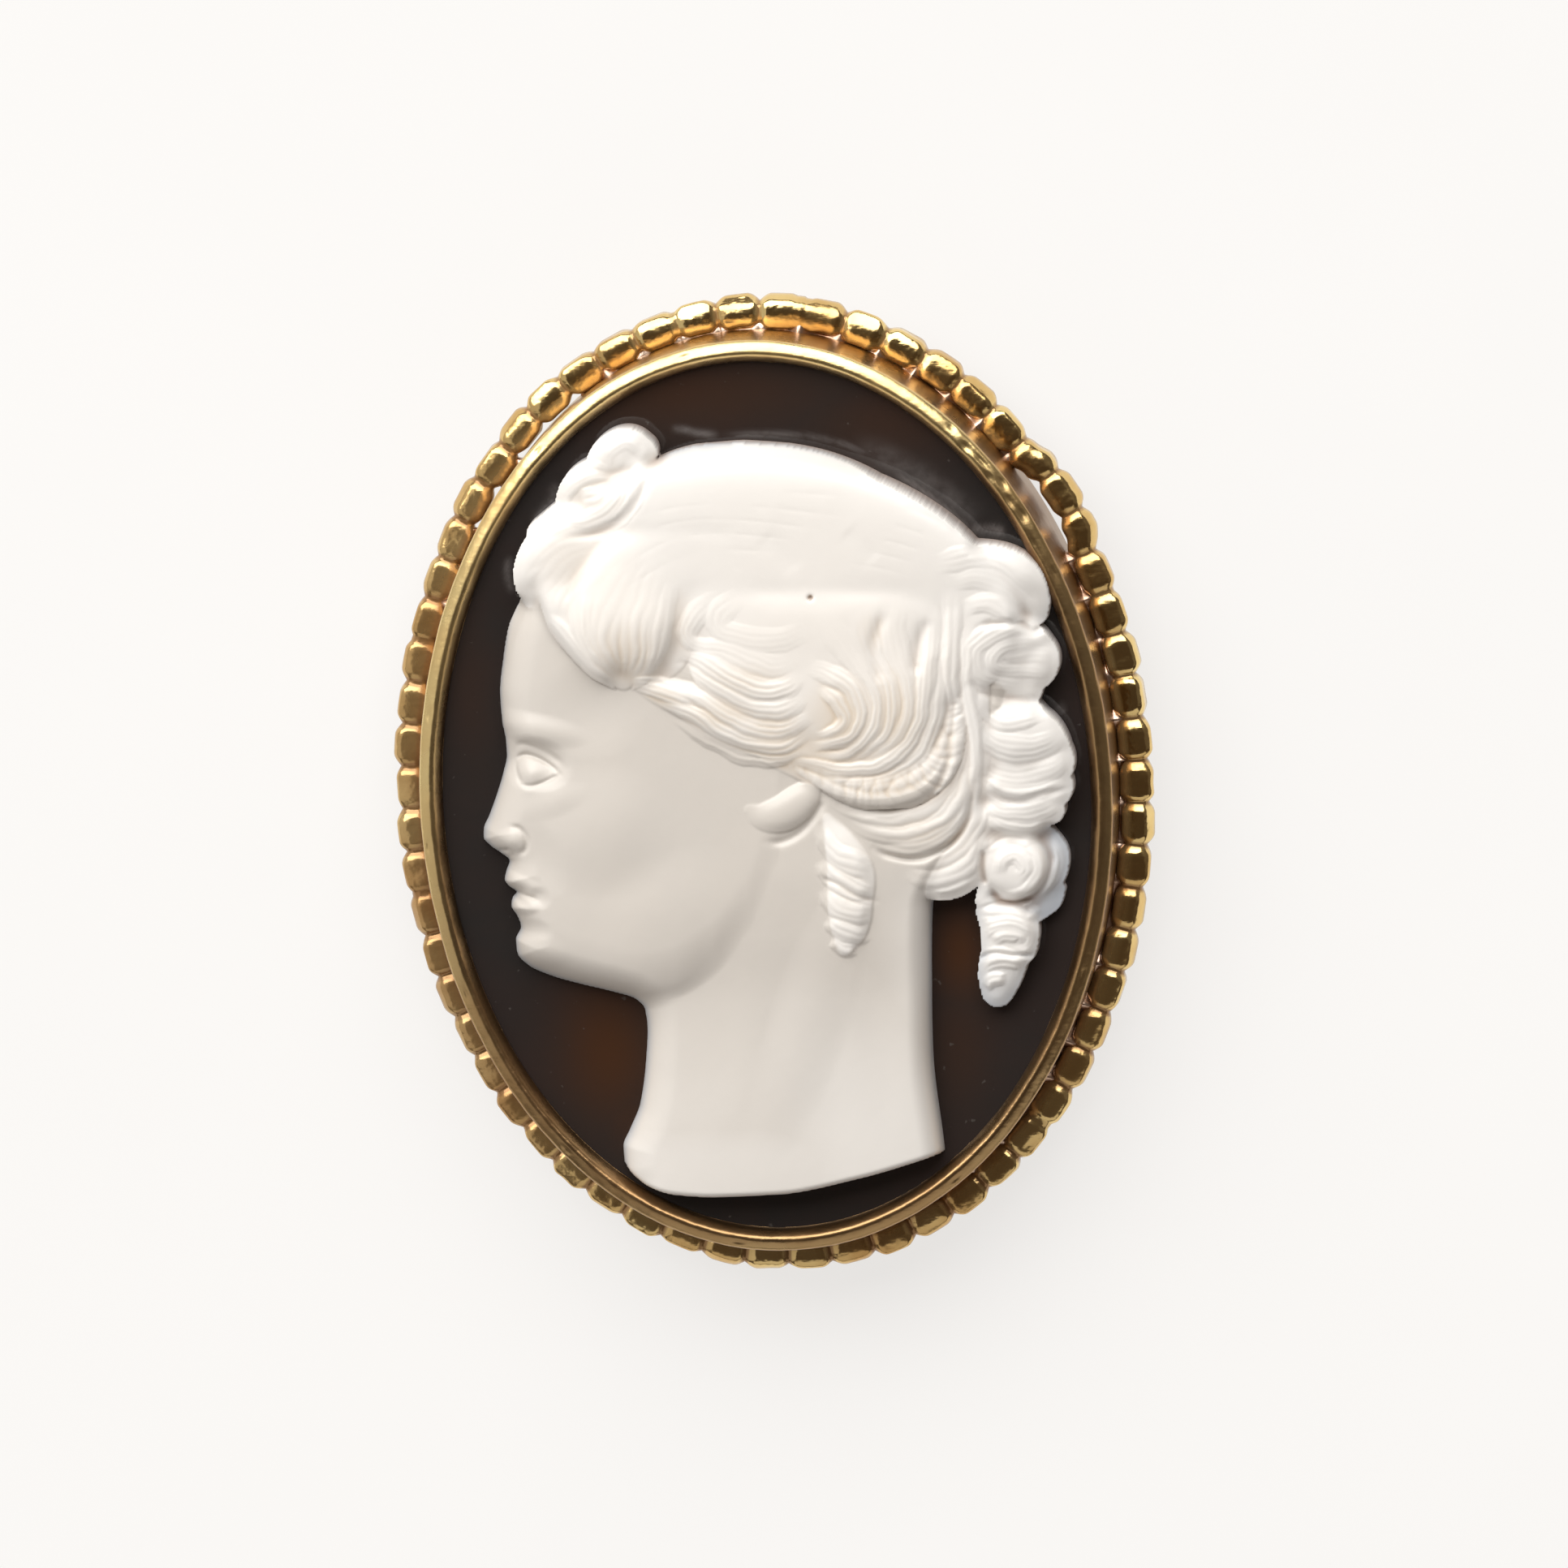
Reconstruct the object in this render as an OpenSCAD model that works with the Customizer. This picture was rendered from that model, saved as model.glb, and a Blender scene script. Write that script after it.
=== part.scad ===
// Oval cameo brooch: a two-layer stone carved with a head in profile, held in a gold mount
// with a beaded wire round it, and a plain pin across the open back.
// Millimetres. The stone faces +Z and the top of the oval points to +Y. The origin is under
// the middle of the oval, level with the lowest point of the pin.

/* [Stone] */
// Length of the stone's face inside the bezel
face_l = 38.9; // [35:0.1:44]
// Width of the stone's face inside the bezel
face_w = 28.9; // [26:0.1:33]
// Thickness of the dark layer
ground_t = 2.4; // [1.8:0.1:3.2]
// How far the stone's edge runs under the bezel's lip
edge_cover = 0.45; // [0.3:0.05:0.6]
// Gap between the stone and the gold round it
seat_gap = 0.05; // [0.03:0.01:0.08]

/* [Bezel] */
// Thickness of the upright wall
wall_t = 0.5; // [0.4:0.05:0.8]
// Height of the rolled rim above the stone's face
rim_h = 0.75; // [0.5:0.05:1]
// Width of the bearer that the stone sits on
bearer_w = 1.6; // [1.3:0.1:2]
// Thickness of the bearer
bearer_t = 0.5; // [0.4:0.1:0.8]
// Depth of the open back below the bearer
back_depth = 1.8; // [1.5:0.1:2.4]
// Straight stretches round the oval
oval_steps = 88; // [64:8:120]

/* [Beaded wire] */
// Diameter of a bead
bead_d = 1.45; // [1.3:0.05:1.7]
// Diameter of the wire between two beads
waist_d = 0.95; // [0.6:0.05:1.1]
// Distance from bead to bead along the wire
bead_pitch = 1.9; // [1.7:0.05:2.4]
// Height of the wire's middle above the back rim
wire_h = 1.3; // [0.9:0.1:2]
// Gap between the beads and the wall, bridged by solder
wire_gap = 0.05; // [0.03:0.01:0.15]
// Width of a solder drop
solder_d = 0.6; // [0.4:0.05:0.8]
// Height of a solder drop
solder_l = 0.7; // [0.5:0.05:0.9]
// Beads from one solder drop to the next
solder_every = 2; // [1:1:4]
// Sides of a bead
bead_sides = 10; // [10:2:14]

/* [Pin] */
// Diameter of the stem
stem_d = 0.9; // [0.7:0.05:1.1]
// Height of the pin above the middle of the oval, towards the top
pin_up = 4; // [2:0.5:6]
// How far the pin stands below the back rim
pin_proud = 1; // [0.6:0.1:1.2]
// Diameter of the round ends that hold the stem
barrel_d = 1.6; // [1.3:0.1:1.8]
// Length of the hinge end, along the height of the oval
hinge_l = 3; // [2:0.1:3.4]
// Length of the catch end, along the stem
catch_l = 1.4; // [1:0.1:2]
// Thickness of the feet between the round ends and the bearer
foot_t = 0.9; // [0.7:0.05:1.2]
// Gap between a foot and the bearer
foot_gap = 0.1; // [0.05:0.01:0.2]
// Gap between a round end and the wall
end_gap = 0.15; // [0.1:0.01:0.3]

/* [Carving] */
// Height of the carving above the dark layer
relief_h = 3.4; // [2.6:0.1:4.2]
// Strip of dark stone that stays clear between the carving and the bezel
figure_gap = 0.45; // [0.3:0.05:0.8]
// Fullness of the head across: higher is squarer
dome_power = 2.6; // [2:0.1:3.5]
// Share across the dome whose height the nose, lips and chin keep
face_foot = 0.03; // [0.02:0.01:0.06]
// Width of the rounding along the head's outline
edge_w = 1.1; // [0.8:0.1:1.6]
// Stretches across the head
head_steps = 17; // [10:1:18]
// Height of a lock of hair as a share of its width
lock_flatness = 0.75; // [0.6:0.05:1]
// Height of the smooth cap of hair as a share of its width
cap_flatness = 0.35; // [0.3:0.05:0.5]
// Sides of a lock of hair
lock_sides = 12; // [10:2:14]

/* [Hidden] */

// Levels, from the pin's lowest point up
back_z = pin_proud;
bearer_z = back_z + back_depth;
seat_z = bearer_z + bearer_t;
stone_z = seat_z + seat_gap;
ground_z = stone_z + ground_t;
lip_z = ground_z + seat_gap;

// Distances out from the edge of the stone's face
wall_in = edge_cover + seat_gap;
bezel_w = wall_in + wall_t;
wire_out = bezel_w + wire_gap + bead_d / 2;

// Half sizes of the field that the carving fills
half_w = face_w / 2 - figure_gap;
half_l = face_l / 2 - figure_gap;

// How far a solder drop's middle lies inside the wall and inside its bead
solder_sink = 0.12;

// Sides of a solder drop and of the pin's round stretches
drop_sides = 8;
pin_facets = 48;

// Swell of the wire over one bead.
// Columns: share of the way along the bead, share of the way from waist to full diameter
bead_section = [
    [0.0, 0.0],
    [0.2, 0.8],
    [0.5, 1.0],
    [0.8, 0.8],
];

// Section of the bezel's rolled rim, from the wall to the lip.
// Columns: share of the bezel's width out from the stone's face, share of the rim's height
rim_section = [
    [1.00, 0.50],
    [0.95, 0.82],
    [0.76, 1.00],
    [0.54, 0.93],
    [0.38, 0.52],
    [0.16, 0.46],
    [0.00, 0.20],
];

// Outline and height of the head, neck and bust, a row for each section across.
// Columns: up, in hundredths of half_l; front and back, in hundredths of half_w;
// height, in hundredths of relief_h
head_rows = [
    [-93.7, -25, 5, 0],
    [-92, -42, 16, 26],
    [-88.5, -48, 37, 36],
    [-85, -50.5, 51, 42],
    [-82, -51, 51, 45],
    [-78, -48.5, 50.5, 46],
    [-72, -45, 50, 47],
    [-62, -42.5, 50, 48],
    [-54, -41.5, 50, 49],
    [-49.5, -42, 50, 50],
    [-47, -45.5, 50, 51],
    [-45, -53, 50, 53],
    [-43, -62, 50, 55],
    [-41, -71.5, 50.5, 57],
    [-38.5, -78.5, 51, 58],
    [-35.5, -82, 51, 59],
    [-32.3, -82.3, 51, 60],
    [-29, -80.5, 51, 60],
    [-26.3, -81.5, 51.5, 60],
    [-24.2, -83, 52, 60],
    [-22.3, -82.5, 52.5, 60],
    [-21, -81.2, 53, 60],
    [-19.5, -83.5, 54, 60],
    [-18, -84.8, 55, 60],
    [-16, -84.2, 56, 60],
    [-13.3, -83, 60, 60],
    [-11.8, -85.3, 62, 60],
    [-10, -88.5, 64, 60],
    [-8, -90.8, 67, 60],
    [-5.8, -90.6, 70, 60],
    [-3, -88.8, 73, 60],
    [2, -86, 77, 60],
    [7.5, -83.5, 80, 61],
    [11.5, -82, 82, 61],
    [15.5, -82.2, 83, 62],
    [20, -83, 84.5, 62],
    [26, -83.2, 86, 62],
    [34, -82, 87, 62],
    [42, -79.5, 87, 62],
    [48.5, -75, 86, 60],
    [55, -70, 81, 57],
    [63, -63, 66, 52],
    [71, -53, 49, 44],
    [76.5, -41.5, 37, 36],
    [80, -33, 27, 28],
    [82.5, -18, 14, 18],
    [83.7, -8, 5, 0],
];

// Front line of the dome of the head, behind the nose, lips and chin.
// Columns: up, in hundredths of half_l; across, in hundredths of half_w
dome_line = [
    [-93.7, -30],
    [-82, -50],
    [-48, -44],
    [-40, -68],
    [-34, -79],
    [-12, -82],
    [30, -81],
    [55, -70],
    [83.7, -12],
];

// Soft forms added to the face, a row for each.
// Columns: across and its reach, in hundredths of half_w; up and its reach, in hundredths
// of half_l; rise, in hundredths of relief_h
face_forms = [
    [-68, 14, 11, 6, -13],
    [-70, 9, 10.5, 4, 13],
    [-72, 16, 18.5, 4, 8],
    [-81, 8, -9, 5, 13],
    [-55, 24, -8, 17, 6],
    [-74, 9, -21, 3, -10],
    [-81, 8, -17.5, 3, 7],
    [-81, 8, -24.5, 3, 7],
    [-76, 12, -34, 7, 7],
    [-34, 22, -46, 9, -12],
];

// Smooth cap of combed hair over the skull, in the columns of the locks below
cap = [
    [-40, 66, 62, 20],
    [-12, 62, 74, 26],
    [20, 58, 78, 26],
    [44, 50, 76, 24],
    [61, 42, 66, 20],
];

// Hair and ear, a table for each lock from its root to its tip.
// Columns: across, in hundredths of half_w; up, in hundredths of half_l; height of the
// crest, in hundredths of relief_h; radius, in hundredths of half_w
topknot = [
    [-36, 82, 42, 8],
    [-44, 79.5, 52, 10.5],
    [-54, 73, 52, 10.5],
];
front_roll = [
    [-58, 65, 60, 11],
    [-64, 57, 56, 10.5],
    [-65.5, 50, 40, 7],
];
front_lock = [
    [-54, 57, 72, 13],
    [-45, 46, 82, 17],
    [-38, 36, 76, 13],
    [-39, 30, 56, 7],
];
wave = [
    [-24, 40, 80, 13],
    [-6, 30, 92, 18],
    [11, 20, 96, 18],
    [27, 12.5, 96, 17],
    [41, 15, 92, 16],
    [52, 26, 86, 15],
    [57, 40, 76, 12],
];
inner_wave = [
    [-10, 44, 90, 9],
    [4, 40, 98, 10.5],
    [14, 31, 100, 10.5],
    [14, 22, 99, 7],
];
rear_wave = [
    [28, 40, 88, 9],
    [33, 30, 98, 10],
    [31, 20, 99, 9],
];
rope = [
    [18, 8, 84, 6],
    [27, 3, 86, 6.5],
    [37, 0.5, 84, 7],
    [48, 2, 82, 7],
    [57, 7.5, 80, 6.5],
    [62, 15, 74, 5.5],
];
band = [
    [18.5, -1, 66, 5],
    [31, -8, 66, 7.5],
    [45, -9.5, 64, 8],
    [58, -5, 62, 8],
    [66, 5, 62, 7.5],
    [69, 16, 62, 7.5],
    [69, 28, 62, 7.5],
    [67, 40, 58, 6.5],
];
chignon = [
    [36, -13.5, 52, 6],
    [44, -17.5, 54, 8.5],
    [56, -18.5, 50, 10],
    [67, -13, 48, 9.5],
    [72, -5, 48, 8.5],
];
crown_curl = [
    [70, 49, 50, 13],
    [78, 47, 44, 12],
];
upper_curl = [
    [73, 36, 50, 10],
    [80, 31.5, 52, 14],
    [82, 26, 46, 11.5],
];
middle_curl = [
    [74, 13.5, 54, 11],
    [83, 9.5, 54, 15.5],
    [84.5, 1.8, 48, 13.5],
];
lower_curl = [
    [81, -8.4, 46, 9.5],
    [78, -17.4, 54, 11],
];
outer_curl = [
    [87, -11, 32, 7],
    [91, -20, 26, 6.5],
    [85, -28, 34, 7],
];
ringlet = [
    [74, -27, 44, 9],
    [75.5, -36, 48, 12],
    [73.5, -43.5, 42, 9.5],
    [70, -48.5, 30, 5.5],
];
neck_ringlet = [
    [23.5, -7, 68, 6],
    [27, -14.7, 70, 9],
    [27, -23.7, 68, 9.5],
    [27, -31, 64, 8.5],
    [24.5, -37, 56, 6],
];
ear = [
    [-1.5, 5, 64, 6],
    [5, -1, 70, 9],
    [12, 1, 66, 7],
];
locks = [
    topknot, front_roll, front_lock, wave, inner_wave, rear_wave, rope, band, chignon,
    crown_curl, upper_curl, middle_curl, lower_curl, outer_curl, ringlet, neck_ringlet, ear,
];

// Point of the oval at angle t, moved out by the distance out
function oval_point(t, out) =
    let (normal = [face_l * cos(t), face_w * sin(t)] / norm([face_l * cos(t), face_w * sin(t)]))
    [face_w / 2 * cos(t), face_l / 2 * sin(t)] + out * normal;

function oval_outline(out) = [for (i = [0:oval_steps - 1]) oval_point(i * 360 / oval_steps, out)];

// Steps round the oval at which the length of the wire is summed
wire_angles = 240;

// Length of one such step, and the length up to each angle as pairs of length and angle
function wire_step(i) = norm(oval_point((i + 1) * 360 / wire_angles, wire_out)
    - oval_point(i * 360 / wire_angles, wire_out));
wire_table = [
    for (i = 0, s = 0; i <= wire_angles; s = s + wire_step(i), i = i + 1) [s, i * 360 / wire_angles]
];
wire_l = wire_table[wire_angles][0];
bead_count = round(wire_l / bead_pitch);
bead_l = wire_l / bead_count;

// Faces of a closed ring of sections, each with the given number of points
function ring_faces(sections, points) = [
    for (i = [0:sections - 1], j = [0:points - 1])
        let (a = i * points, b = (i + 1) % sections * points, k = (j + 1) % points)
        [a + k, b + k, b + j, a + j]
];

// Height of the dome of the head at share u across, from 0 at the front to 1 at the back
function dome(u) = pow(max(1 - pow(abs(2 * u - 1), dome_power), 0), 1 / dome_power);

// Rounding of the outline at the given distance in from it, from 0 to 1
function rounded(in) = in >= edge_w ? 1 : sqrt(max(1 - pow(1 - in / edge_w, 2), 0));

// Fall of a soft form from 1 at its middle to 0 at its reach
function soft(d) = abs(d) < 1 ? pow(1 - d * d, 2) : 0;

// Rise of the face's soft forms at a place given in hundredths
function face_rise(x, y, i = 0) =
    i == len(face_forms) ? 0 :
    let (f = face_forms[i])
    f[4] * soft(norm([(x - f[0]) / f[1], (y - f[2]) / f[3]])) + face_rise(x, y, i + 1);

// Point of the head's surface on one row, at share u across
function head_point(row, u) =
    let (
        x = row[1] + (row[2] - row[1]) * u,
        front = lookup(row[0], dome_line),
        dome_u = max((x - front) / (row[2] - front), face_foot),
        edge = rounded(min(x - row[1], row[2] - x) / 100 * half_w),
        height = row[3] == 0 ? 0 : dome(dome_u) * row[3] + face_rise(x, row[0])
    )
    [x / 100 * half_w, row[0] / 100 * half_l, ground_z + relief_h / 100 * edge * height];

// The bezel and wall: one section swept round the oval
module collet() {
    section = concat(
        [[wall_in, back_z], [bezel_w, back_z]],
        [for (p = rim_section) [p.x * bezel_w, ground_z + p.y * rim_h]],
        [
            [0, lip_z],
            [wall_in, lip_z],
            [wall_in, seat_z],
            [wall_in - bearer_w, seat_z],
            [wall_in - bearer_w, bearer_z],
            [wall_in, bearer_z],
        ]
    );
    points = [
        for (i = [0:oval_steps - 1], p = section)
            let (at = oval_point(i * 360 / oval_steps, p.x))
            [at.x, at.y, p.y]
    ];
    polyhedron(points, ring_faces(oval_steps, len(section)));
}

// The beaded wire: a ring of sections that swells and narrows once for each bead
module beaded_wire() {
    rings = [for (i = [0:bead_count - 1], b = bead_section) [(i + b[0]) * bead_l, b[1]]];
    points = [
        for (ring = rings, j = [0:bead_sides - 1])
            let (
                t = lookup(ring[0], wire_table),
                a = j * 360 / bead_sides,
                r = (waist_d + (bead_d - waist_d) * ring[1]) / 2
            )
            [each oval_point(t, wire_out + r * cos(a)), back_z + wire_h + r * sin(a)]
    ];
    polyhedron(points, ring_faces(len(rings), bead_sides));
}

// A drop of solder between the wall and the middle of a bead
module solder_drop(bead) {
    t = lookup((bead + 0.5) * bead_l, wire_table);
    reach = wire_gap + solder_sink;
    hull() {
        for (out = [bezel_w - solder_sink, bezel_w + reach])
            translate([each oval_point(t, out), back_z + wire_h - solder_l / 2])
                cylinder(h = solder_l, d = solder_d, $fn = drop_sides);
    }
}

module gold_mount() {
    color("goldenrod") {
        collet();
        beaded_wire();
        for (i = [0:solder_every:bead_count - 1]) {
            solder_drop(i);
        }
    }
}

module stone_ground() {
    color("#2a1512")
        translate([0, 0, stone_z])
            linear_extrude(ground_t)
                polygon(oval_outline(edge_cover));
}

// Face, neck, bust and the round of the skull: one surface over a flat back
module head() {
    rows = len(head_rows);
    across = head_steps + 1;
    points = [
        for (row = head_rows, i = [0:head_steps]) head_point(row, (1 - cos(i * 180 / head_steps)) / 2)
    ];
    surface = [
        for (j = [0:rows - 2], i = [0:head_steps - 1])
            let (a = j * across + i)
            [a, a + across, a + across + 1, a + 1]
    ];
    back = concat(
        [for (i = [0:head_steps]) i],
        [for (j = [1:rows - 1]) j * across + head_steps],
        [for (i = [1:head_steps]) rows * across - 1 - i],
        [for (j = [rows - 2:-1:1]) j * across]
    );
    polyhedron(points, concat(surface, [back]));
}

// One flattened ball of a lock
module lock_ball(row, flatness) {
    radius = row[3] / 100 * half_w;
    translate([
        row[0] / 100 * half_w,
        row[1] / 100 * half_l,
        ground_z + row[2] / 100 * relief_h - radius * flatness,
    ])
        scale([1, 1, flatness])
            sphere(r = radius, $fn = lock_sides);
}

module lock(rows, flatness) {
    for (i = [0:len(rows) - 2]) {
        hull() {
            lock_ball(rows[i], flatness);
            lock_ball(rows[i + 1], flatness);
        }
    }
}

module relief() {
    color("ivory")
        intersection() {
            union() {
                head();
                lock(cap, cap_flatness);
                for (rows = locks) {
                    lock(rows, lock_flatness);
                }
            }
            translate([0, 0, ground_z])
                linear_extrude(relief_h)
                    polygon(oval_outline(0));
        }
}

// Inner face of the wall at height y above the middle of the oval
function wall_x(y) = (face_w / 2 + wall_in) * sqrt(1 - pow(y / (face_l / 2 + wall_in), 2));

// Round end of the pin with the foot that carries it, its length turned about Z
module pin_end(length, turn) {
    translate([0, 0, barrel_d / 2]) {
        rotate([90, 0, turn])
            cylinder(h = length, d = barrel_d, center = true, $fn = pin_facets);
        rotate([0, 0, turn])
            translate([-foot_t / 2, -length / 2, 0])
                cube([foot_t, length, bearer_z - foot_gap - barrel_d / 2]);
    }
}

module pin() {
    hinge_x = wall_x(pin_up + hinge_l / 2) - end_gap - barrel_d / 2;
    catch_x = -(wall_x(pin_up + barrel_d / 2) - end_gap - catch_l / 2);
    color("goldenrod")
        translate([0, pin_up, 0]) {
            translate([hinge_x, 0, 0])
                pin_end(hinge_l, 0);
            translate([catch_x, 0, 0])
                pin_end(catch_l, 90);
            translate([catch_x, 0, barrel_d / 2])
                rotate([0, 90, 0])
                    cylinder(h = hinge_x - catch_x, d = stem_d, $fn = pin_facets);
        }
}

gold_mount();
stone_ground();
relief();
pin();
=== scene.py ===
"""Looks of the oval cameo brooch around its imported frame.

Tables and sizes are in millimetres. The stone faces +Z, the top of the oval points to +Y, and
meshes are turned into metres by mesh_object() alone.
"""

import math

import bmesh
import bpy
import numpy as np
from mathutils import Matrix, Vector


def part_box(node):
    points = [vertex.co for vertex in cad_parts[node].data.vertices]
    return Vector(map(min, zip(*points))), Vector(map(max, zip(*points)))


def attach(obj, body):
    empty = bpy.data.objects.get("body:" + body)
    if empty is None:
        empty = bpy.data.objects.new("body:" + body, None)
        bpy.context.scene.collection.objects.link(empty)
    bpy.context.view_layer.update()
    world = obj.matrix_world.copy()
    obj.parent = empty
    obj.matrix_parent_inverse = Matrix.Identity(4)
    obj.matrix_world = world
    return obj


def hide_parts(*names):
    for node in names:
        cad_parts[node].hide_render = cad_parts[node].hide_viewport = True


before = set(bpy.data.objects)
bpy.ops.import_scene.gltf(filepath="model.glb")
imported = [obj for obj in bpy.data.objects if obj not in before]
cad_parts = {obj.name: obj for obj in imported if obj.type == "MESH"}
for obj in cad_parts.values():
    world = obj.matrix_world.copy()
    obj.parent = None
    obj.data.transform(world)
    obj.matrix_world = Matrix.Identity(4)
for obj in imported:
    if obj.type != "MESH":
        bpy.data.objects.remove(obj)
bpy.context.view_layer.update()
MM = 0.001

# Levels and sizes read from the frame, in millimetres
stone_low, stone_high = [np.array(corner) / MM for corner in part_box("stone_ground")]
mount_low, mount_high = [np.array(corner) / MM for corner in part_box("gold_mount")]
EDGE_COVER = 0.45
SEAT_GAP = 0.05
WALL_T = 0.5
BEARER_W = 1.6
BEARER_T = 0.5
GROUND_Z = float(stone_high[2])
STONE_Z = float(stone_low[2])
BACK_Z = float(mount_low[2])
SEAT_Z = STONE_Z - SEAT_GAP
BEARER_Z = SEAT_Z - BEARER_T
LIP_Z = GROUND_Z + SEAT_GAP
RIM_H = float(mount_high[2]) - GROUND_Z
HALF_X = float(stone_high[0]) - EDGE_COVER
HALF_Y = float(stone_high[1]) - EDGE_COVER
WALL_IN = EDGE_COVER + SEAT_GAP
BEZEL_W = WALL_IN + WALL_T
BEAD_D = 1.5
WAIST_D = 0.98
WIRE_H = 1.35
WIRE_OUT = BEZEL_W + BEAD_D / 2


# Small maths helpers

def smoothstep(low, high, x):
    u = np.clip((x - low) / (high - low), 0, 1)
    return u * u * (3 - 2 * u)


def faded_ends(share, length):
    """1 along a line, falling to 0 over the given share of it at either end."""
    return smoothstep(0, length, share) * smoothstep(1, 1 - length, share)


def spot(x, y, cx, cy, rx, ry, power=2):
    """1 at the middle of a soft round spot, falling beyond its reach across and up."""
    return np.exp(-((x - cx) / rx) ** power - ((y - cy) / ry) ** power)


def turn_from(at, angle):
    """Turn in degrees, -180 to 180, from one angle in degrees to another."""
    return (angle - at + 180) % 360 - 180


def lengths_along(x, y):
    """Length of a line of points up to each of them."""
    return np.concatenate([[0], np.cumsum(np.hypot(np.diff(x), np.diff(y)))])


def smooth_max(a, b, k):
    blend = np.maximum(k - np.abs(a - b), 0) / k
    return np.maximum(a, b) + blend * blend * k / 4


def smooth_min(a, b, k):
    return -smooth_max(-a, -b, k)


def spline(rows, per_span=8):
    """Catmull-Rom curve through the rows of a table, every column alike."""
    p = np.array(rows, float)
    p = np.vstack([2 * p[0] - p[1], p, 2 * p[-1] - p[-2]])
    u = np.linspace(0, 1, per_span, endpoint=False)[:, None]
    spans = []
    for a, b, c, d in zip(p[:-3], p[1:-2], p[2:-1], p[3:]):
        spans.append(0.5 * (2 * b + (c - a) * u + (2 * a - 5 * b + 4 * c - d) * u ** 2
                            + (3 * b - a - 3 * c + d) * u ** 3))
    return np.vstack(spans + [p[-2:-1]])


def smooth_lookup(rows, at):
    """Smooth value of a two-column table at the given places, with no overshoot."""
    x, y = np.array(rows, float).T
    step = np.diff(x)
    slope = np.diff(y) / step
    inner = np.where(slope[:-1] * slope[1:] > 0,
                     2 * slope[:-1] * slope[1:] / (slope[:-1] + slope[1:] + 1e-12), 0)
    m = np.concatenate([[slope[0]], inner, [slope[-1]]])
    at = np.clip(at, x[0], x[-1])
    i = np.clip(np.searchsorted(x, at) - 1, 0, len(step) - 1)
    u = (at - x[i]) / step[i]
    return ((2 * u ** 3 - 3 * u ** 2 + 1) * y[i] + (u ** 3 - 2 * u ** 2 + u) * step[i] * m[i]
            + (3 * u ** 2 - 2 * u ** 3) * y[i + 1] + (u ** 3 - u ** 2) * step[i] * m[i + 1])


def wander(x, y, seed, scale=1.0):
    """Gentle seeded unevenness from a few crossed waves, about -1 to 1."""
    draw = np.random.default_rng(seed)
    total = np.zeros_like(np.asarray(x, float) + np.asarray(y, float))
    for octave in range(5):
        angle, shift = draw.uniform(0, 2 * math.pi, 2)
        reach = scale * 0.62 ** octave
        total = total + 0.6 ** octave * np.sin(
            (x * math.cos(angle) + y * math.sin(angle)) / reach * 2 * math.pi + shift
            + 1.3 * np.sin((y * math.cos(angle) - x * math.sin(angle)) / reach * 3.1 + shift))
    return total / 2.1


def blurred(grid, reach):
    """Mean of a grid over a square that reaches the given number of cells each way."""
    wide = np.pad(grid, reach + 1, mode="edge").cumsum(0).cumsum(1)
    n = 2 * reach + 1
    return (wide[n:-1, n:-1] - wide[:-n - 1, n:-1] - wide[n:-1, :-n - 1] + wide[:-n - 1, :-n - 1]) / n ** 2


# Carving: the outline and dome of the head, in millimetres

GRID_STEP = 0.0605
SINK = 0.03
EDGE_W = 1.6
CUT_W = 0.3
JAW_W = 2.7
TOP_Y = 15.95
# Reach of the evening out of the masses, and of the shade in the crevices
EVEN_REACH = 0.17
SHADE_REACH = 0.34

# Front line of the bust, neck and face. Columns: up, across
FRONT_LINE = [
    (-18.2, -6.2), (-17.4, -6.75), (-16.5, -7.1), (-15.6, -7.14), (-14.8, -6.79), (-13.7, -6.3),
    (-11.8, -5.95), (-10.2, -5.81), (-9.45, -5.88), (-8.95, -6.3), (-8.6, -7.3), (-8.25, -8.6),
    (-7.85, -9.9), (-7.35, -10.95), (-6.75, -11.46), (-6.15, -11.5), (-5.55, -11.24), (-5.05, -11.38),
    (-4.6, -11.62), (-4.24, -11.55), (-3.99, -11.34), (-3.72, -11.67), (-3.42, -11.86), (-3.05, -11.78),
    (-2.55, -11.6), (-2.24, -11.94), (-1.9, -12.4), (-1.5, -12.72), (-1.1, -12.69), (-0.55, -12.43),
    (0.4, -12.04), (1.4, -11.69), (2.2, -11.5), (2.95, -11.52), (3.8, -11.64), (4.95, -11.66),
    (6.45, -11.46), (8.0, -11.1), (9.2, -10.5), (10.5, -9.8), (12.0, -8.8), (13.5, -7.4), (14.5, -5.8),
    (15.3, -4.2), (15.85, -2.4), (15.95, -0.6),
]
# Back line of the bust, neck and skull. Columns: up, across
BACK_LINE = [
    (-18.2, 7.3), (-16.2, 7.22), (-11.8, 6.9), (-8.2, 7.0), (-5.1, 7.2), (-3.5, 8.0), (-1.0, 9.8),
    (2.0, 10.9), (5.0, 11.7), (8.0, 12.0), (9.6, 11.4), (11.0, 9.9), (12.6, 8.1), (14.2, 5.9), (15.2, 3.9),
    (15.75, 1.8), (15.95, -0.2),
]
# Lower edge of the bust. Columns: across, up
CUT_LINE = [
    (-7.4, -15.8), (-6.8, -16.75), (-6.0, -17.35), (-4.8, -17.72), (-3.0, -17.85), (-0.2, -17.8),
    (3.4, -17.2), (7.4, -16.15),
]
# Lower edge of the face, from the chin along the jaw to the ear and under the hair.
# Columns: across, up
JAW_LINE = [
    (-11.6, -7.1), (-10.95, -7.45), (-9.9, -8.0), (-8.6, -8.45), (-7.3, -8.85), (-5.8, -9.1), (-4.2, -8.95),
    (-2.4, -8.2), (-0.7, -6.8), (0.6, -5.0), (1.5, -3.0), (2.2, -1.4), (4.0, -1.0), (12.0, -1.0),
]
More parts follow.
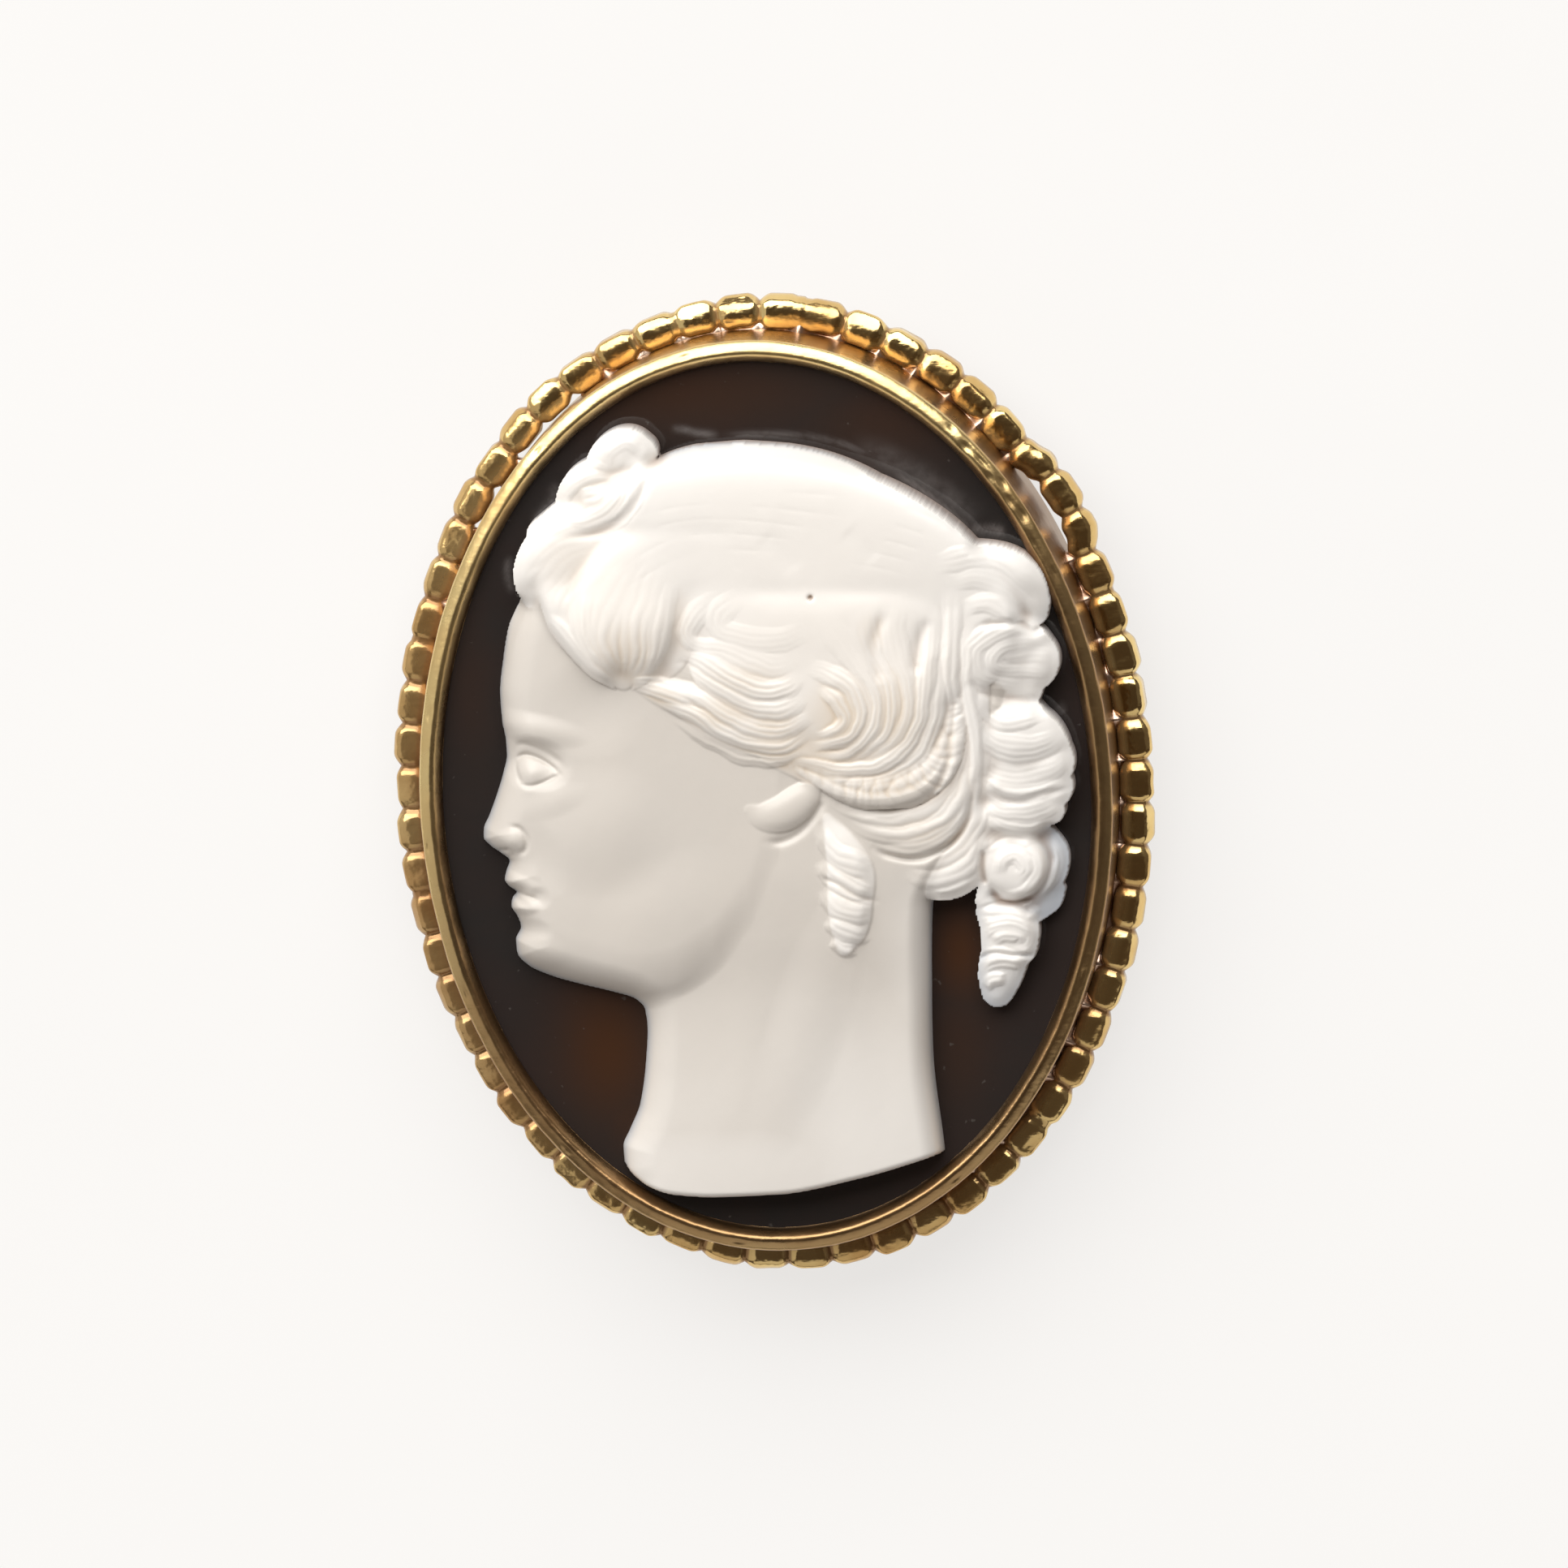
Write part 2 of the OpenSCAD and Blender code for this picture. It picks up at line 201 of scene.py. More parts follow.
# Line from which the dome of the neck and of the face rises, ahead of the outline.
# Columns: up, across
NECK_DOME = [(-18.2, -8.2), (-15.5, -8.1), (-12.0, -7.0), (-9.0, -6.8), (16, -6.8)]
FACE_DOME = [(-9.0, -12.6), (-6.4, -13.0), (3.0, -13.4), (8.0, -12.8), (12.0, -10.6), (15.95, -4.5)]
# Height of the dome of bust and neck, and of face and skull. Columns: up, height
NECK_HEIGHT = [
    (-18.2, 1.6), (-16.5, 1.66), (-14.0, 1.68), (-9.0, 1.76), (-6.0, 1.98), (-3.0, 2.15), (16, 2.15),
]
FACE_HEIGHT = [
    (-9.0, 2.05), (-4.0, 2.2), (2.0, 2.25), (9.0, 2.3), (12.0, 2.2), (13.8, 1.95), (15.0, 1.6),
    (15.95, 1.2),
]
DOME_POWER = 2.4
CROWN_POWER = 3.4

# Soft forms of the face and neck.
# Columns: across, up, reach across, reach up, turn in degrees, rise
SOFT_FORMS = [
    # hollow of the eye, brow ridge, eyeball, pouch under the eye
    (-10.2, 2.0, 2.0, 1.35, -8, -0.42),
    (-10.2, 3.55, 2.9, 0.85, -10, 0.17),
    (-10.3, 1.65, 1.0, 0.75, -16, 0.34),
    (-9.3, 0.3, 1.9, 0.8, 20, 0.06),
    # wing of the nose and the hollow behind it
    (-11.35, -1.55, 0.85, 0.7, 0, 0.2),
    (-10.0, -2.2, 1.2, 2.0, 24, -0.09),
    # cheek, jaw and temple
    (-7.3, -1.0, 3.6, 3.2, 0, 0.2),
    (-4.2, -4.9, 4.4, 2.8, 28, 0.12),
    (-7.4, 4.4, 2.4, 2.4, 0, -0.12),
    # lips and the hollow under them, chin
    (-11.2, -3.42, 1.3, 0.52, -14, 0.17),
    (-11.1, -4.55, 1.15, 0.5, 12, 0.17),
    (-10.15, -4.05, 0.6, 0.6, 0, -0.1),
    (-10.8, -5.5, 1.4, 0.6, 0, -0.1),
    (-10.5, -6.7, 1.8, 1.2, 0, 0.16),
]
# The same columns, for the neck: the muscle from behind the ear, and the hollows beside it
NECK_FORMS = [
    (1.6, -10.0, 1.9, 7.2, -20, 0.13),
    (-2.9, -10.4, 2.4, 5.0, -10, -0.08),
    (4.9, -9.5, 1.5, 5.5, 0, -0.06),
]

# Fine lines cut in the face. Each: width, depth, points across and up
FACE_LINES = [
    # crease above the upper lid, edges of the upper and lower lid, front of the eyeball
    (0.16, 0.08, [(-11.05, 2.6), (-10.6, 2.85), (-10.0, 2.7), (-9.3, 2.3), (-8.7, 1.8)]),
    (0.09, 0.13, [(-11.05, 2.05), (-10.6, 2.32), (-10.0, 2.2), (-9.45, 1.9), (-8.95, 1.5)]),
    (0.09, 0.09, [(-10.75, 1.05), (-10.35, 0.98), (-9.85, 1.1), (-9.35, 1.3), (-8.95, 1.5)]),
    (0.1, 0.07, [(-10.95, 2.1), (-11.0, 1.75), (-10.9, 1.4), (-10.7, 1.05)]),
    # crease round the wing of the nose, nostril
    (0.13, 0.1, [(-11.4, -0.8), (-10.9, -0.95), (-10.62, -1.4), (-10.72, -1.9), (-11.15, -2.15)]),
    (0.1, 0.13, [(-12.05, -2.02), (-11.75, -2.0), (-11.45, -1.9)]),
    # line between the lips
    (0.09, 0.15, [(-11.7, -4.0), (-11.2, -3.95), (-10.7, -4.02), (-10.25, -4.15)]),
]

# Masses of hair over the skull, and the lobe of the ear.
# Each: drop from crest to edge, then rows of across, up, height of the crest, radius
MASSES = [
    ("crown", 0.85, [(-6.6, 11.6, 2.1, 2.2), (-4.0, 11.4, 2.5, 3.6), (-0.5, 11.0, 2.65, 4.5),
        (3.0, 10.2, 2.7, 4.8), (6.0, 9.0, 2.65, 4.4), (8.6, 7.6, 2.4, 3.2)]),
    ("curl_bed", 0.7, [(11.0, 8.6, 1.3, 1.4), (11.3, 5.4, 1.45, 1.5), (11.0, 3.8, 1.6, 1.35),
        (11.6, 2.0, 1.4, 1.8), (11.4, 0.0, 1.3, 1.8), (10.9, -2.0, 1.1, 1.3), (10.8, -3.4, 1.0, 1.1),
        (10.5, -5.2, 0.9, 0.9)]),
    ("topknot", 0.8, [(-4.8, 15.7, 1.6, 0.8), (-5.4, 15.75, 1.8, 1.1), (-6.0, 15.4, 1.8, 1.1),
        (-6.4, 14.9, 1.75, 0.9)]),
    ("topknot_fold", 0.75, [(-6.2, 14.7, 1.7, 1.0), (-6.9, 14.1, 1.9, 1.35), (-7.4, 13.7, 1.8, 1.2),
        (-8.1, 13.3, 1.5, 0.6)]),
    ("topknot_back", 0.5, [(-4.9, 14.9, 1.9, 0.5), (-5.4, 14.0, 2.1, 0.8), (-6.2, 13.2, 2.1, 0.7)]),
    ("front_nub", 0.6, [(-8.4, 12.9, 1.5, 0.7), (-9.3, 12.2, 1.3, 0.7)]),
    ("front_roll", 1.0, [(-6.0, 12.4, 2.0, 1.5), (-7.6, 11.5, 2.35, 2.1), (-8.7, 10.6, 2.3, 1.9),
        (-9.3, 9.8, 1.9, 1.2), (-9.5, 9.1, 1.5, 0.6)]),
    ("front_lock", 0.75, [(-3.6, 11.6, 2.4, 1.6), (-4.9, 10.2, 2.75, 2.3), (-5.6, 8.8, 3.08, 2.5),
        (-5.8, 7.6, 3.08, 2.15), (-5.8, 6.6, 2.82, 1.4), (-5.85, 5.9, 2.4, 0.75)]),
    ("front_valley", 0.45, [(-3.0, 9.5, 2.46, 1.2), (-3.3, 8.2, 2.53, 1.15), (-3.8, 7.0, 2.5, 1.05),
        (-4.4, 6.0, 2.35, 0.7)]),
    ("front_fill", 0.7, [(-8.4, 10.4, 2.3, 1.3), (-8.0, 9.2, 2.55, 1.4), (-7.4, 8.0, 2.7, 1.3),
        (-6.8, 6.9, 2.65, 1.0), (-6.3, 6.1, 2.45, 0.6)]),
    ("brow_lock", 0.8, [(-9.2, 9.2, 1.7, 0.4), (-8.5, 8.3, 2.3, 0.7), (-7.7, 7.4, 2.55, 0.8),
        (-7.0, 6.4, 2.55, 0.65), (-6.4, 5.7, 2.3, 0.4)]),
    ("waves_top", 0.35, [(-2.2, 8.5, 2.45, 0.9), (-0.6, 8.0, 2.75, 1.5), (2.0, 7.6, 2.9, 1.9),
        (4.6, 7.4, 2.9, 2.0), (6.6, 7.2, 2.75, 1.9), (8.2, 6.8, 2.5, 1.4)]),
    ("waves", 0.8, [(-2.4, 7.3, 2.45, 1.0), (-0.9, 6.4, 2.8, 2.0), (1.2, 5.5, 2.9, 2.5),
        (3.6, 4.9, 2.92, 2.8), (5.6, 5.0, 2.9, 3.0), (6.9, 6.2, 2.8, 2.4), (7.4, 7.4, 2.5, 1.6)]),
    ("waves_edge", 0.85, [(-5.6, 5.5, 2.1, 0.3), (-4.4, 5.2, 2.4, 0.75), (-3.0, 4.7, 2.55, 1.0),
        (-1.5, 3.9, 2.6, 1.2), (0.4, 3.3, 2.62, 1.4), (2.2, 2.8, 2.62, 1.5), (4.2, 2.3, 2.6, 1.5),
        (6.2, 2.5, 2.62, 1.5), (7.6, 3.6, 2.6, 1.2)]),
    ("waves_tail", 0.7, [(0.2, 2.0, 2.25, 0.3), (1.6, 1.5, 2.35, 0.5), (3.2, 1.0, 2.4, 0.7),
        (5.0, 0.8, 2.42, 0.8), (6.8, 1.2, 2.45, 0.8), (8.0, 2.4, 2.45, 0.7)]),
    ("band", 0.75, [(9.0, 9.2, 1.7, 0.9), (9.3, 6.8, 2.3, 1.1), (9.2, 4.0, 2.25, 1.15),
        (9.0, 1.8, 2.15, 1.35), (8.1, -0.3, 2.1, 1.5), (6.6, -1.1, 2.1, 1.55), (4.9, -1.0, 2.1, 1.25),
        (3.5, -0.4, 2.05, 0.7), (2.7, 0.1, 1.95, 0.3)]),
    ("chignon", 0.8, [(9.4, -0.6, 1.7, 0.7), (9.1, -2.0, 1.65, 1.2), (8.2, -3.05, 1.65, 1.6),
        (7.1, -3.3, 1.65, 1.35), (6.1, -3.0, 1.7, 0.8), (5.4, -2.6, 1.7, 0.35)]),
    ("crown_curl", 0.8, [(7.6, 10.2, 1.4, 0.9), (9.6, 9.9, 2.0, 1.35), (11.2, 9.4, 1.85, 1.5),
        (12.1, 8.6, 1.45, 1.0), (12.5, 7.9, 1.15, 0.5)]),
    ("upper_curl", 0.9, [(10.7, 6.3, 2.05, 1.55), (11.3, 6.15, 1.95, 1.8), (12.0, 5.85, 1.6, 1.45)]),
    ("middle_curl", 0.8, [(10.8, 2.6, 2.0, 1.4), (11.6, 2.1, 1.9, 1.9), (12.3, 1.3, 1.55, 1.6)]),
    ("middle_curl_low", 0.75, [(10.4, 0.4, 1.9, 0.8), (11.6, 0.1, 1.75, 1.2), (12.7, 0.2, 1.4, 1.1)]),
    ("lip_curl", 0.7, [(10.2, -1.0, 1.75, 0.8), (11.4, -1.0, 1.65, 0.95), (12.6, -0.8, 1.3, 0.8)]),
    ("button", 0.85, [(10.9, -3.3, 1.65, 1.45), (11.2, -3.4, 1.65, 1.5)]),
    ("outer_curl", 0.35, [(12.5, -2.0, 0.6, 0.4), (12.9, -2.9, 0.68, 0.52), (12.75, -3.9, 0.68, 0.5),
        (12.2, -4.6, 0.68, 0.45), (11.4, -5.0, 0.65, 0.3)]),
    ("outer_curl_low", 0.3, [(12.9, -4.5, 0.5, 0.3), (12.5, -5.1, 0.58, 0.45), (11.6, -5.6, 0.62, 0.5)]),
    ("nub", 0.6, [(9.65, -4.2, 1.2, 0.32), (9.5, -4.9, 1.15, 0.36)]),
    ("ringlet", 0.75, [(9.9, -5.4, 1.15, 0.75), (10.6, -6.0, 1.3, 1.3), (10.6, -6.8, 1.25, 1.3)]),
    ("ringlet_end", 0.7, [(10.3, -7.6, 1.15, 1.1), (10.1, -8.3, 1.05, 1.0), (9.95, -9.0, 0.9, 0.75)]),
    ("neck_ringlet", 0.75, [(2.9, -0.8, 2.2, 0.4), (3.45, -2.0, 2.4, 0.85), (3.8, -3.2, 2.45, 1.15),
        (3.7, -4.5, 2.4, 1.1), (3.6, -5.6, 2.3, 0.95), (3.35, -6.6, 2.05, 0.55)]),
    ("ear", 0.55, [(2.3, 0.6, 2.3, 0.5), (1.7, 0.0, 2.48, 0.8), (0.9, -0.5, 2.5, 0.85),
        (0.1, -0.6, 2.4, 0.7), (-0.5, -0.3, 2.26, 0.4)]),
]

# Locks combed over the masses. Each: strands, lift, then rows of across, up, radius
LOCKS = [
    # topknot and front
    (4, 0.12, [(-4.4, 15.1, 0.3), (-4.6, 15.9, 0.5), (-5.3, 16.3, 0.5), (-6.1, 15.9, 0.5),
        (-6.4, 15.2, 0.3)]),
    (2, 0.05, [(-5.0, 15.2, 0.3), (-5.3, 15.7, 0.4), (-5.9, 15.3, 0.3)]),
    (4, 0.15, [(-5.9, 14.9, 0.3), (-6.9, 15.0, 0.5), (-7.8, 14.5, 0.5), (-8.3, 13.7, 0.4),
        (-7.9, 13.0, 0.3)]),
    (4, 0.15, [(-5.6, 14.6, 0.3), (-5.8, 13.8, 0.5), (-6.5, 13.2, 0.5), (-7.5, 12.9, 0.4),
        (-8.3, 13.1, 0.3)]),
    (3, 0.13, [(-6.2, 14.3, 0.3), (-6.8, 13.9, 0.45), (-7.5, 13.8, 0.4)]),
    (3, 0.12, [(-4.8, 14.8, 0.25), (-5.0, 13.9, 0.45), (-5.7, 13.1, 0.5), (-6.9, 12.6, 0.4),
        (-8.3, 12.4, 0.3)]),
    (4, 0.1, [(-6.2, 12.4, 0.4), (-7.8, 12.2, 0.7), (-9.1, 11.6, 0.7), (-10.0, 10.6, 0.5)]),
    (4, 0.1, [(-6.4, 11.6, 0.4), (-7.8, 11.3, 0.7), (-8.9, 10.5, 0.8), (-9.6, 9.6, 0.6)]),
    (4, 0.1, [(-6.6, 11.0, 0.4), (-7.6, 10.3, 0.7), (-8.3, 9.4, 0.8), (-8.5, 8.6, 0.5)]),
    (3, 0.11, [(-7.0, 10.0, 0.4), (-7.5, 9.0, 0.6), (-7.5, 8.0, 0.6), (-7.1, 7.0, 0.5), (-6.6, 6.1, 0.3)]),
    (3, 0.1, [(-9.3, 8.9, 0.25), (-8.5, 8.0, 0.4), (-7.8, 7.1, 0.45), (-7.1, 6.2, 0.35), (-6.5, 5.6, 0.2)]),
    (4, 0.13, [(-5.5, 5.5, 0.25), (-4.6, 5.4, 0.45), (-3.6, 5.1, 0.55), (-2.5, 4.6, 0.5)]),
    (3, 0.11, [(-5.0, 11.0, 0.5), (-5.9, 9.7, 0.8), (-6.4, 8.3, 0.8), (-6.4, 7.0, 0.65), (-6.0, 5.9, 0.3)]),
    (3, 0.12, [(-4.0, 10.9, 0.5), (-4.7, 9.6, 0.8), (-5.2, 8.2, 0.8), (-5.3, 6.9, 0.65), (-5.6, 5.7, 0.3)]),
    (3, 0.1, [(-3.4, 10.3, 0.3), (-3.8, 9.2, 0.5), (-4.1, 8.0, 0.55), (-4.3, 6.9, 0.45),
        (-4.9, 5.9, 0.25)]),
    # waves, from the outer edge inwards
    (4, 0.11, [(-1.2, 9.4, 0.3), (-2.3, 8.7, 0.6), (-2.9, 7.8, 0.5), (-2.6, 7.2, 0.4), (-1.4, 7.0, 0.5),
        (-0.2, 6.5, 0.6), (1.0, 6.2, 0.5), (2.1, 6.6, 0.3)]),
    (4, 0.14, [(-0.4, 9.4, 0.4), (-1.4, 8.6, 0.6), (-1.3, 7.9, 0.55), (-0.2, 7.5, 0.6), (1.2, 7.4, 0.6),
        (2.6, 7.8, 0.4)]),
    (4, 0.16, [(-3.4, 6.9, 0.3), (-2.2, 6.5, 0.5), (-1.1, 5.8, 0.6), (0.1, 5.2, 0.6), (1.3, 5.2, 0.55),
        (2.1, 5.9, 0.35)]),
    (4, 0.16, [(-3.9, 6.1, 0.3), (-2.6, 5.8, 0.45), (-1.4, 5.0, 0.55), (-0.1, 4.3, 0.55), (1.2, 4.2, 0.55),
        (2.3, 4.9, 0.3)]),
    (4, 0.18, [(-4.3, 5.3, 0.25), (-2.8, 5.1, 0.4), (-1.6, 4.3, 0.5), (-0.2, 3.5, 0.5), (1.2, 3.3, 0.5),
        (2.6, 4.0, 0.25)]),
    (3, 0.16, [(-4.6, 4.7, 0.2), (-3.2, 4.3, 0.4), (-1.8, 3.4, 0.45), (-0.3, 2.7, 0.45), (1.1, 2.6, 0.45),
        (2.5, 3.3, 0.2)]),
    (3, 0.14, [(-3.8, 4.0, 0.2), (-2.2, 2.9, 0.35), (-0.6, 2.1, 0.4), (0.9, 1.95, 0.35), (2.2, 2.4, 0.2)]),
    # second swirl
    (4, 0.18, [(2.3, 6.2, 0.3), (3.3, 5.8, 0.5), (4.3, 5.1, 0.55), (4.7, 4.0, 0.55), (4.2, 3.0, 0.45),
        (3.1, 2.6, 0.3), (2.2, 2.5, 0.2)]),
    (3, 0.16, [(2.9, 5.2, 0.25), (3.7, 4.6, 0.4), (4.0, 3.8, 0.4), (3.5, 3.2, 0.35), (2.6, 3.0, 0.2)]),
    (4, 0.16, [(3.2, 8.6, 0.5), (3.8, 7.4, 0.6), (4.7, 6.2, 0.6), (5.4, 5.0, 0.5), (5.4, 3.8, 0.5),
        (4.8, 2.7, 0.4), (3.6, 2.1, 0.25), (2.4, 2.0, 0.2)]),
    (4, 0.14, [(4.9, 8.9, 0.5), (5.0, 7.6, 0.6), (5.4, 6.4, 0.5), (6.0, 5.2, 0.45), (6.1, 4.0, 0.4),
        (5.7, 2.9, 0.35), (4.8, 2.2, 0.25), (3.6, 1.8, 0.2)]),
    (4, 0.15, [(6.5, 9.0, 0.5), (6.3, 7.8, 0.6), (6.5, 6.5, 0.55), (6.8, 5.2, 0.45), (6.8, 4.0, 0.4),
        (6.3, 2.9, 0.4), (5.3, 2.1, 0.3), (4.2, 1.7, 0.2)]),
    (4, 0.18, [(7.9, 8.9, 0.4), (7.9, 7.4, 0.5), (7.7, 5.9, 0.5), (7.5, 4.5, 0.45), (7.1, 3.2, 0.45),
        (6.3, 2.1, 0.5), (5.1, 1.5, 0.45), (3.7, 1.4, 0.4), (2.2, 1.7, 0.3), (0.8, 2.0, 0.2)]),
    (3, 0.14, [(8.4, 6.2, 0.25), (8.2, 4.8, 0.35), (7.9, 3.4, 0.4), (7.2, 2.0, 0.4), (6.0, 1.2, 0.4),
        (4.6, 0.9, 0.35), (3.2, 1.0, 0.3), (1.8, 1.4, 0.2)]),
    # band under the rope, strands behind it, chignon
    (2, 0.12, [(9.0, 3.6, 0.3), (8.8, 2.0, 0.4), (8.2, 0.5, 0.5), (7.0, -0.5, 0.5), (5.5, -0.75, 0.45),
        (4.0, -0.45, 0.35), (2.8, 0.1, 0.2)]),
    (2, 0.13, [(9.3, 1.6, 0.3), (8.9, 0.1, 0.45), (7.9, -1.1, 0.5), (6.5, -1.65, 0.5), (5.1, -1.5, 0.45),
        (3.8, -0.9, 0.25)]),
    (2, 0.12, [(9.5, 0.3, 0.2), (9.0, -1.0, 0.35), (7.8, -2.0, 0.4), (6.3, -2.3, 0.4), (5.0, -2.1, 0.25)]),
    (2, 0.15, [(8.9, 9.4, 0.4), (8.9, 7.9, 0.5), (8.8, 6.5, 0.4), (8.8, 5.0, 0.35), (8.9, 3.6, 0.2)]),
    (2, 0.17, [(9.6, 8.0, 0.3), (9.5, 6.2, 0.35), (9.5, 4.4, 0.4), (9.7, 2.6, 0.35), (9.6, 0.8, 0.3),
        (9.3, -0.6, 0.2)]),
    (2, 0.12, [(9.7, 0.0, 0.2), (9.5, -1.3, 0.4), (8.6, -2.4, 0.5), (7.3, -2.9, 0.5), (6.2, -2.8, 0.3)]),
    (2, 0.12, [(9.7, -1.5, 0.25), (9.2, -2.9, 0.45), (8.2, -3.6, 0.5), (7.1, -3.7, 0.45),
        (6.2, -3.3, 0.25)]),
    (2, 0.1, [(9.3, -3.8, 0.25), (8.3, -4.3, 0.35), (7.3, -4.35, 0.3)]),
    # curls down the back
    (4, 0.13, [(8.2, 10.5, 0.4), (9.8, 10.7, 0.6), (11.2, 10.4, 0.6), (12.1, 9.5, 0.5), (12.5, 8.7, 0.3)]),
    (4, 0.13, [(8.8, 9.6, 0.4), (10.2, 9.8, 0.5), (11.3, 9.3, 0.5), (12.0, 8.4, 0.45), (12.3, 7.7, 0.3)]),
    (3, 0.13, [(9.4, 8.4, 0.3), (10.4, 8.7, 0.5), (11.2, 8.3, 0.5), (11.9, 7.7, 0.35)]),
    (5, 0.13, [(12.9, 7.3, 0.3), (11.9, 7.5, 0.5), (10.7, 7.3, 0.6), (9.8, 6.6, 0.6), (9.8, 5.5, 0.6),
        (10.8, 4.9, 0.5), (12.2, 4.8, 0.4)]),
    (4, 0.12, [(13.1, 6.4, 0.3), (12.1, 6.7, 0.4), (11.1, 6.6, 0.5), (10.6, 6.0, 0.45), (11.1, 5.6, 0.4),
        (12.3, 5.5, 0.4), (13.2, 5.4, 0.25)]),
    (3, 0.12, [(10.9, 6.1, 0.3), (11.6, 6.15, 0.4), (12.4, 6.1, 0.45), (13.2, 5.9, 0.35)]),
    (4, 0.13, [(9.7, 4.9, 0.3), (10.2, 3.9, 0.5), (11.2, 3.4, 0.6), (12.8, 3.6, 0.35)]),
    (5, 0.1, [(9.7, 3.7, 0.3), (10.1, 2.6, 0.55), (11.2, 2.0, 0.7), (12.6, 2.1, 0.6), (13.5, 2.7, 0.3)]),
    (4, 0.1, [(9.7, 2.3, 0.3), (10.3, 1.2, 0.5), (11.4, 0.8, 0.6), (12.8, 1.0, 0.55), (13.9, 1.6, 0.3)]),
    (3, 0.13, [(9.8, 1.0, 0.3), (10.6, 0.2, 0.4), (11.9, 0.0, 0.45), (13.5, 0.4, 0.3)]),
    (4, 0.1, [(9.6, 0.1, 0.3), (10.5, -0.7, 0.45), (11.9, -0.9, 0.5), (13.2, -0.4, 0.35)]),
    (3, 0.13, [(9.9, -1.0, 0.3), (10.8, -1.6, 0.4), (11.9, -1.7, 0.4), (12.8, -1.2, 0.25)]),
    (3, 0.13, [(9.7, -3.9, 0.3), (9.8, -2.7, 0.45), (10.8, -2.0, 0.5), (12.0, -2.3, 0.5), (12.4, -3.4, 0.5),
        (11.7, -4.5, 0.45), (10.6, -4.7, 0.35), (10.1, -4.2, 0.3)]),
    (3, 0.13, [(10.3, -3.7, 0.3), (10.5, -2.9, 0.4), (11.2, -2.7, 0.4), (11.6, -3.4, 0.4),
        (11.1, -3.9, 0.3)]),
    (3, 0.12, [(12.5, -2.1, 0.2), (13.0, -3.0, 0.35), (12.7, -4.1, 0.35), (12.0, -4.9, 0.2)]),
    # ringlets
    (3, 0.14, [(9.3, -5.4, 0.25), (10.1, -5.1, 0.45), (11.3, -5.3, 0.45), (12.1, -6.0, 0.25)]),
    (4, 0.16, [(9.3, -6.9, 0.3), (9.6, -6.1, 0.5), (10.7, -5.8, 0.5), (11.7, -6.3, 0.45), (11.5, -7.1, 0.4),
        (10.6, -7.2, 0.3)]),
    (3, 0.16, [(9.9, -6.8, 0.25), (10.4, -6.4, 0.35), (11.1, -6.5, 0.35), (11.0, -6.9, 0.25)]),
    (3, 0.16, [(9.2, -8.3, 0.25), (9.5, -7.6, 0.45), (10.4, -7.4, 0.45), (11.2, -7.8, 0.4),
        (11.0, -8.6, 0.3)]),
    (2, 0.16, [(9.4, -8.9, 0.2), (9.8, -8.4, 0.35), (10.5, -8.4, 0.3)]),
    (3, 0.12, [(2.5, -1.0, 0.25), (2.9, -2.0, 0.5), (3.8, -2.7, 0.6), (4.8, -3.1, 0.4)]),
    (3, 0.12, [(2.5, -2.6, 0.3), (3.0, -3.4, 0.5), (3.9, -3.9, 0.5), (4.9, -4.2, 0.3)]),
    (3, 0.12, [(2.5, -4.0, 0.25), (3.1, -4.7, 0.5), (4.0, -5.1, 0.5), (4.8, -5.2, 0.3)]),
    (3, 0.12, [(2.6, -5.3, 0.25), (3.2, -5.8, 0.45), (4.0, -6.1, 0.4), (4.5, -6.0, 0.25)]),
    (2, 0.12, [(2.8, -6.3, 0.25), (3.4, -6.7, 0.35), (3.9, -6.7, 0.25)]),
]

# Places where the carved strands fade. Columns: across, up, reach across, reach up, share lost
CALM = [
    (2.6, 8.0, 4.6, 2.1, 0.7), (-5.6, 10.4, 3.0, 1.9, 0.75), (-8.2, 11.2, 2.2, 1.8, 0.5),
    (-7.0, 14.8, 2.6, 1.6, 0.35), (10.5, 9.8, 2.6, 1.5, 0.5), (12.4, 6.3, 1.2, 1.0, 0.6),
    (-5.4, 8.6, 1.5, 1.6, 0.3),
]

# Places where the white is painted warm and darker: the stone's cream tint, and painted shade over the lower
# waves and the rope. Columns: across, up, reach across, reach up, strength
CREAM_AND_SHADE = [
    (-5.6, 6.8, 1.7, 1.8, 0.85), (-4.2, 4.9, 1.2, 0.8, 0.9), (-1.6, 4.1, 2.2, 0.9, 0.8),
    (0.8, 3.4, 1.7, 0.9, 0.8), (3.8, 3.8, 1.6, 1.9, 1.0), (6.2, 3.8, 1.5, 2.2, 0.85),
    (5.3, 7.6, 0.9, 1.2, 0.5), (-0.4, 5.6, 2.4, 1.0, 0.6), (-3.4, 8.0, 0.9, 1.6, 0.4),
    (8.2, 2.4, 0.9, 1.6, 0.6), (-7.5, 11.0, 2.2, 2.4, 0.45), (-6.8, 14.2, 1.8, 1.5, 0.4),
    (2.0, 2.0, 4.4, 1.8, 0.9), (5.6, 0.6, 3.4, 1.2, 0.8), (6.8, -1.8, 2.6, 1.4, 0.6),
    (3.7, -4.0, 1.2, 2.2, 0.3),
]

# Dark speck in the crown: across, up, depth, radius
SPECK = (2.66, 9.2, 0.25, 0.1)

# Rope of twisted hair along the lower edge of the waves: across, up, height of crest, radius
ROPE = [
    (8.8, 4.2, 2.4, 0.4), (8.65, 3.1, 2.5, 0.6), (8.2, 1.9, 2.6, 0.8), (7.4, 1.0, 2.66, 0.92),
    (6.2, 0.45, 2.66, 0.95), (4.9, 0.4, 2.64, 0.88), (3.6, 0.75, 2.58, 0.7), (2.5, 1.3, 2.48, 0.5),
    (1.5, 1.8, 2.35, 0.3),
]
ROPE_TURNS = 13
# Power with which the rises of crossing locks join: the higher, the crisper
LOCK_JOIN = 6

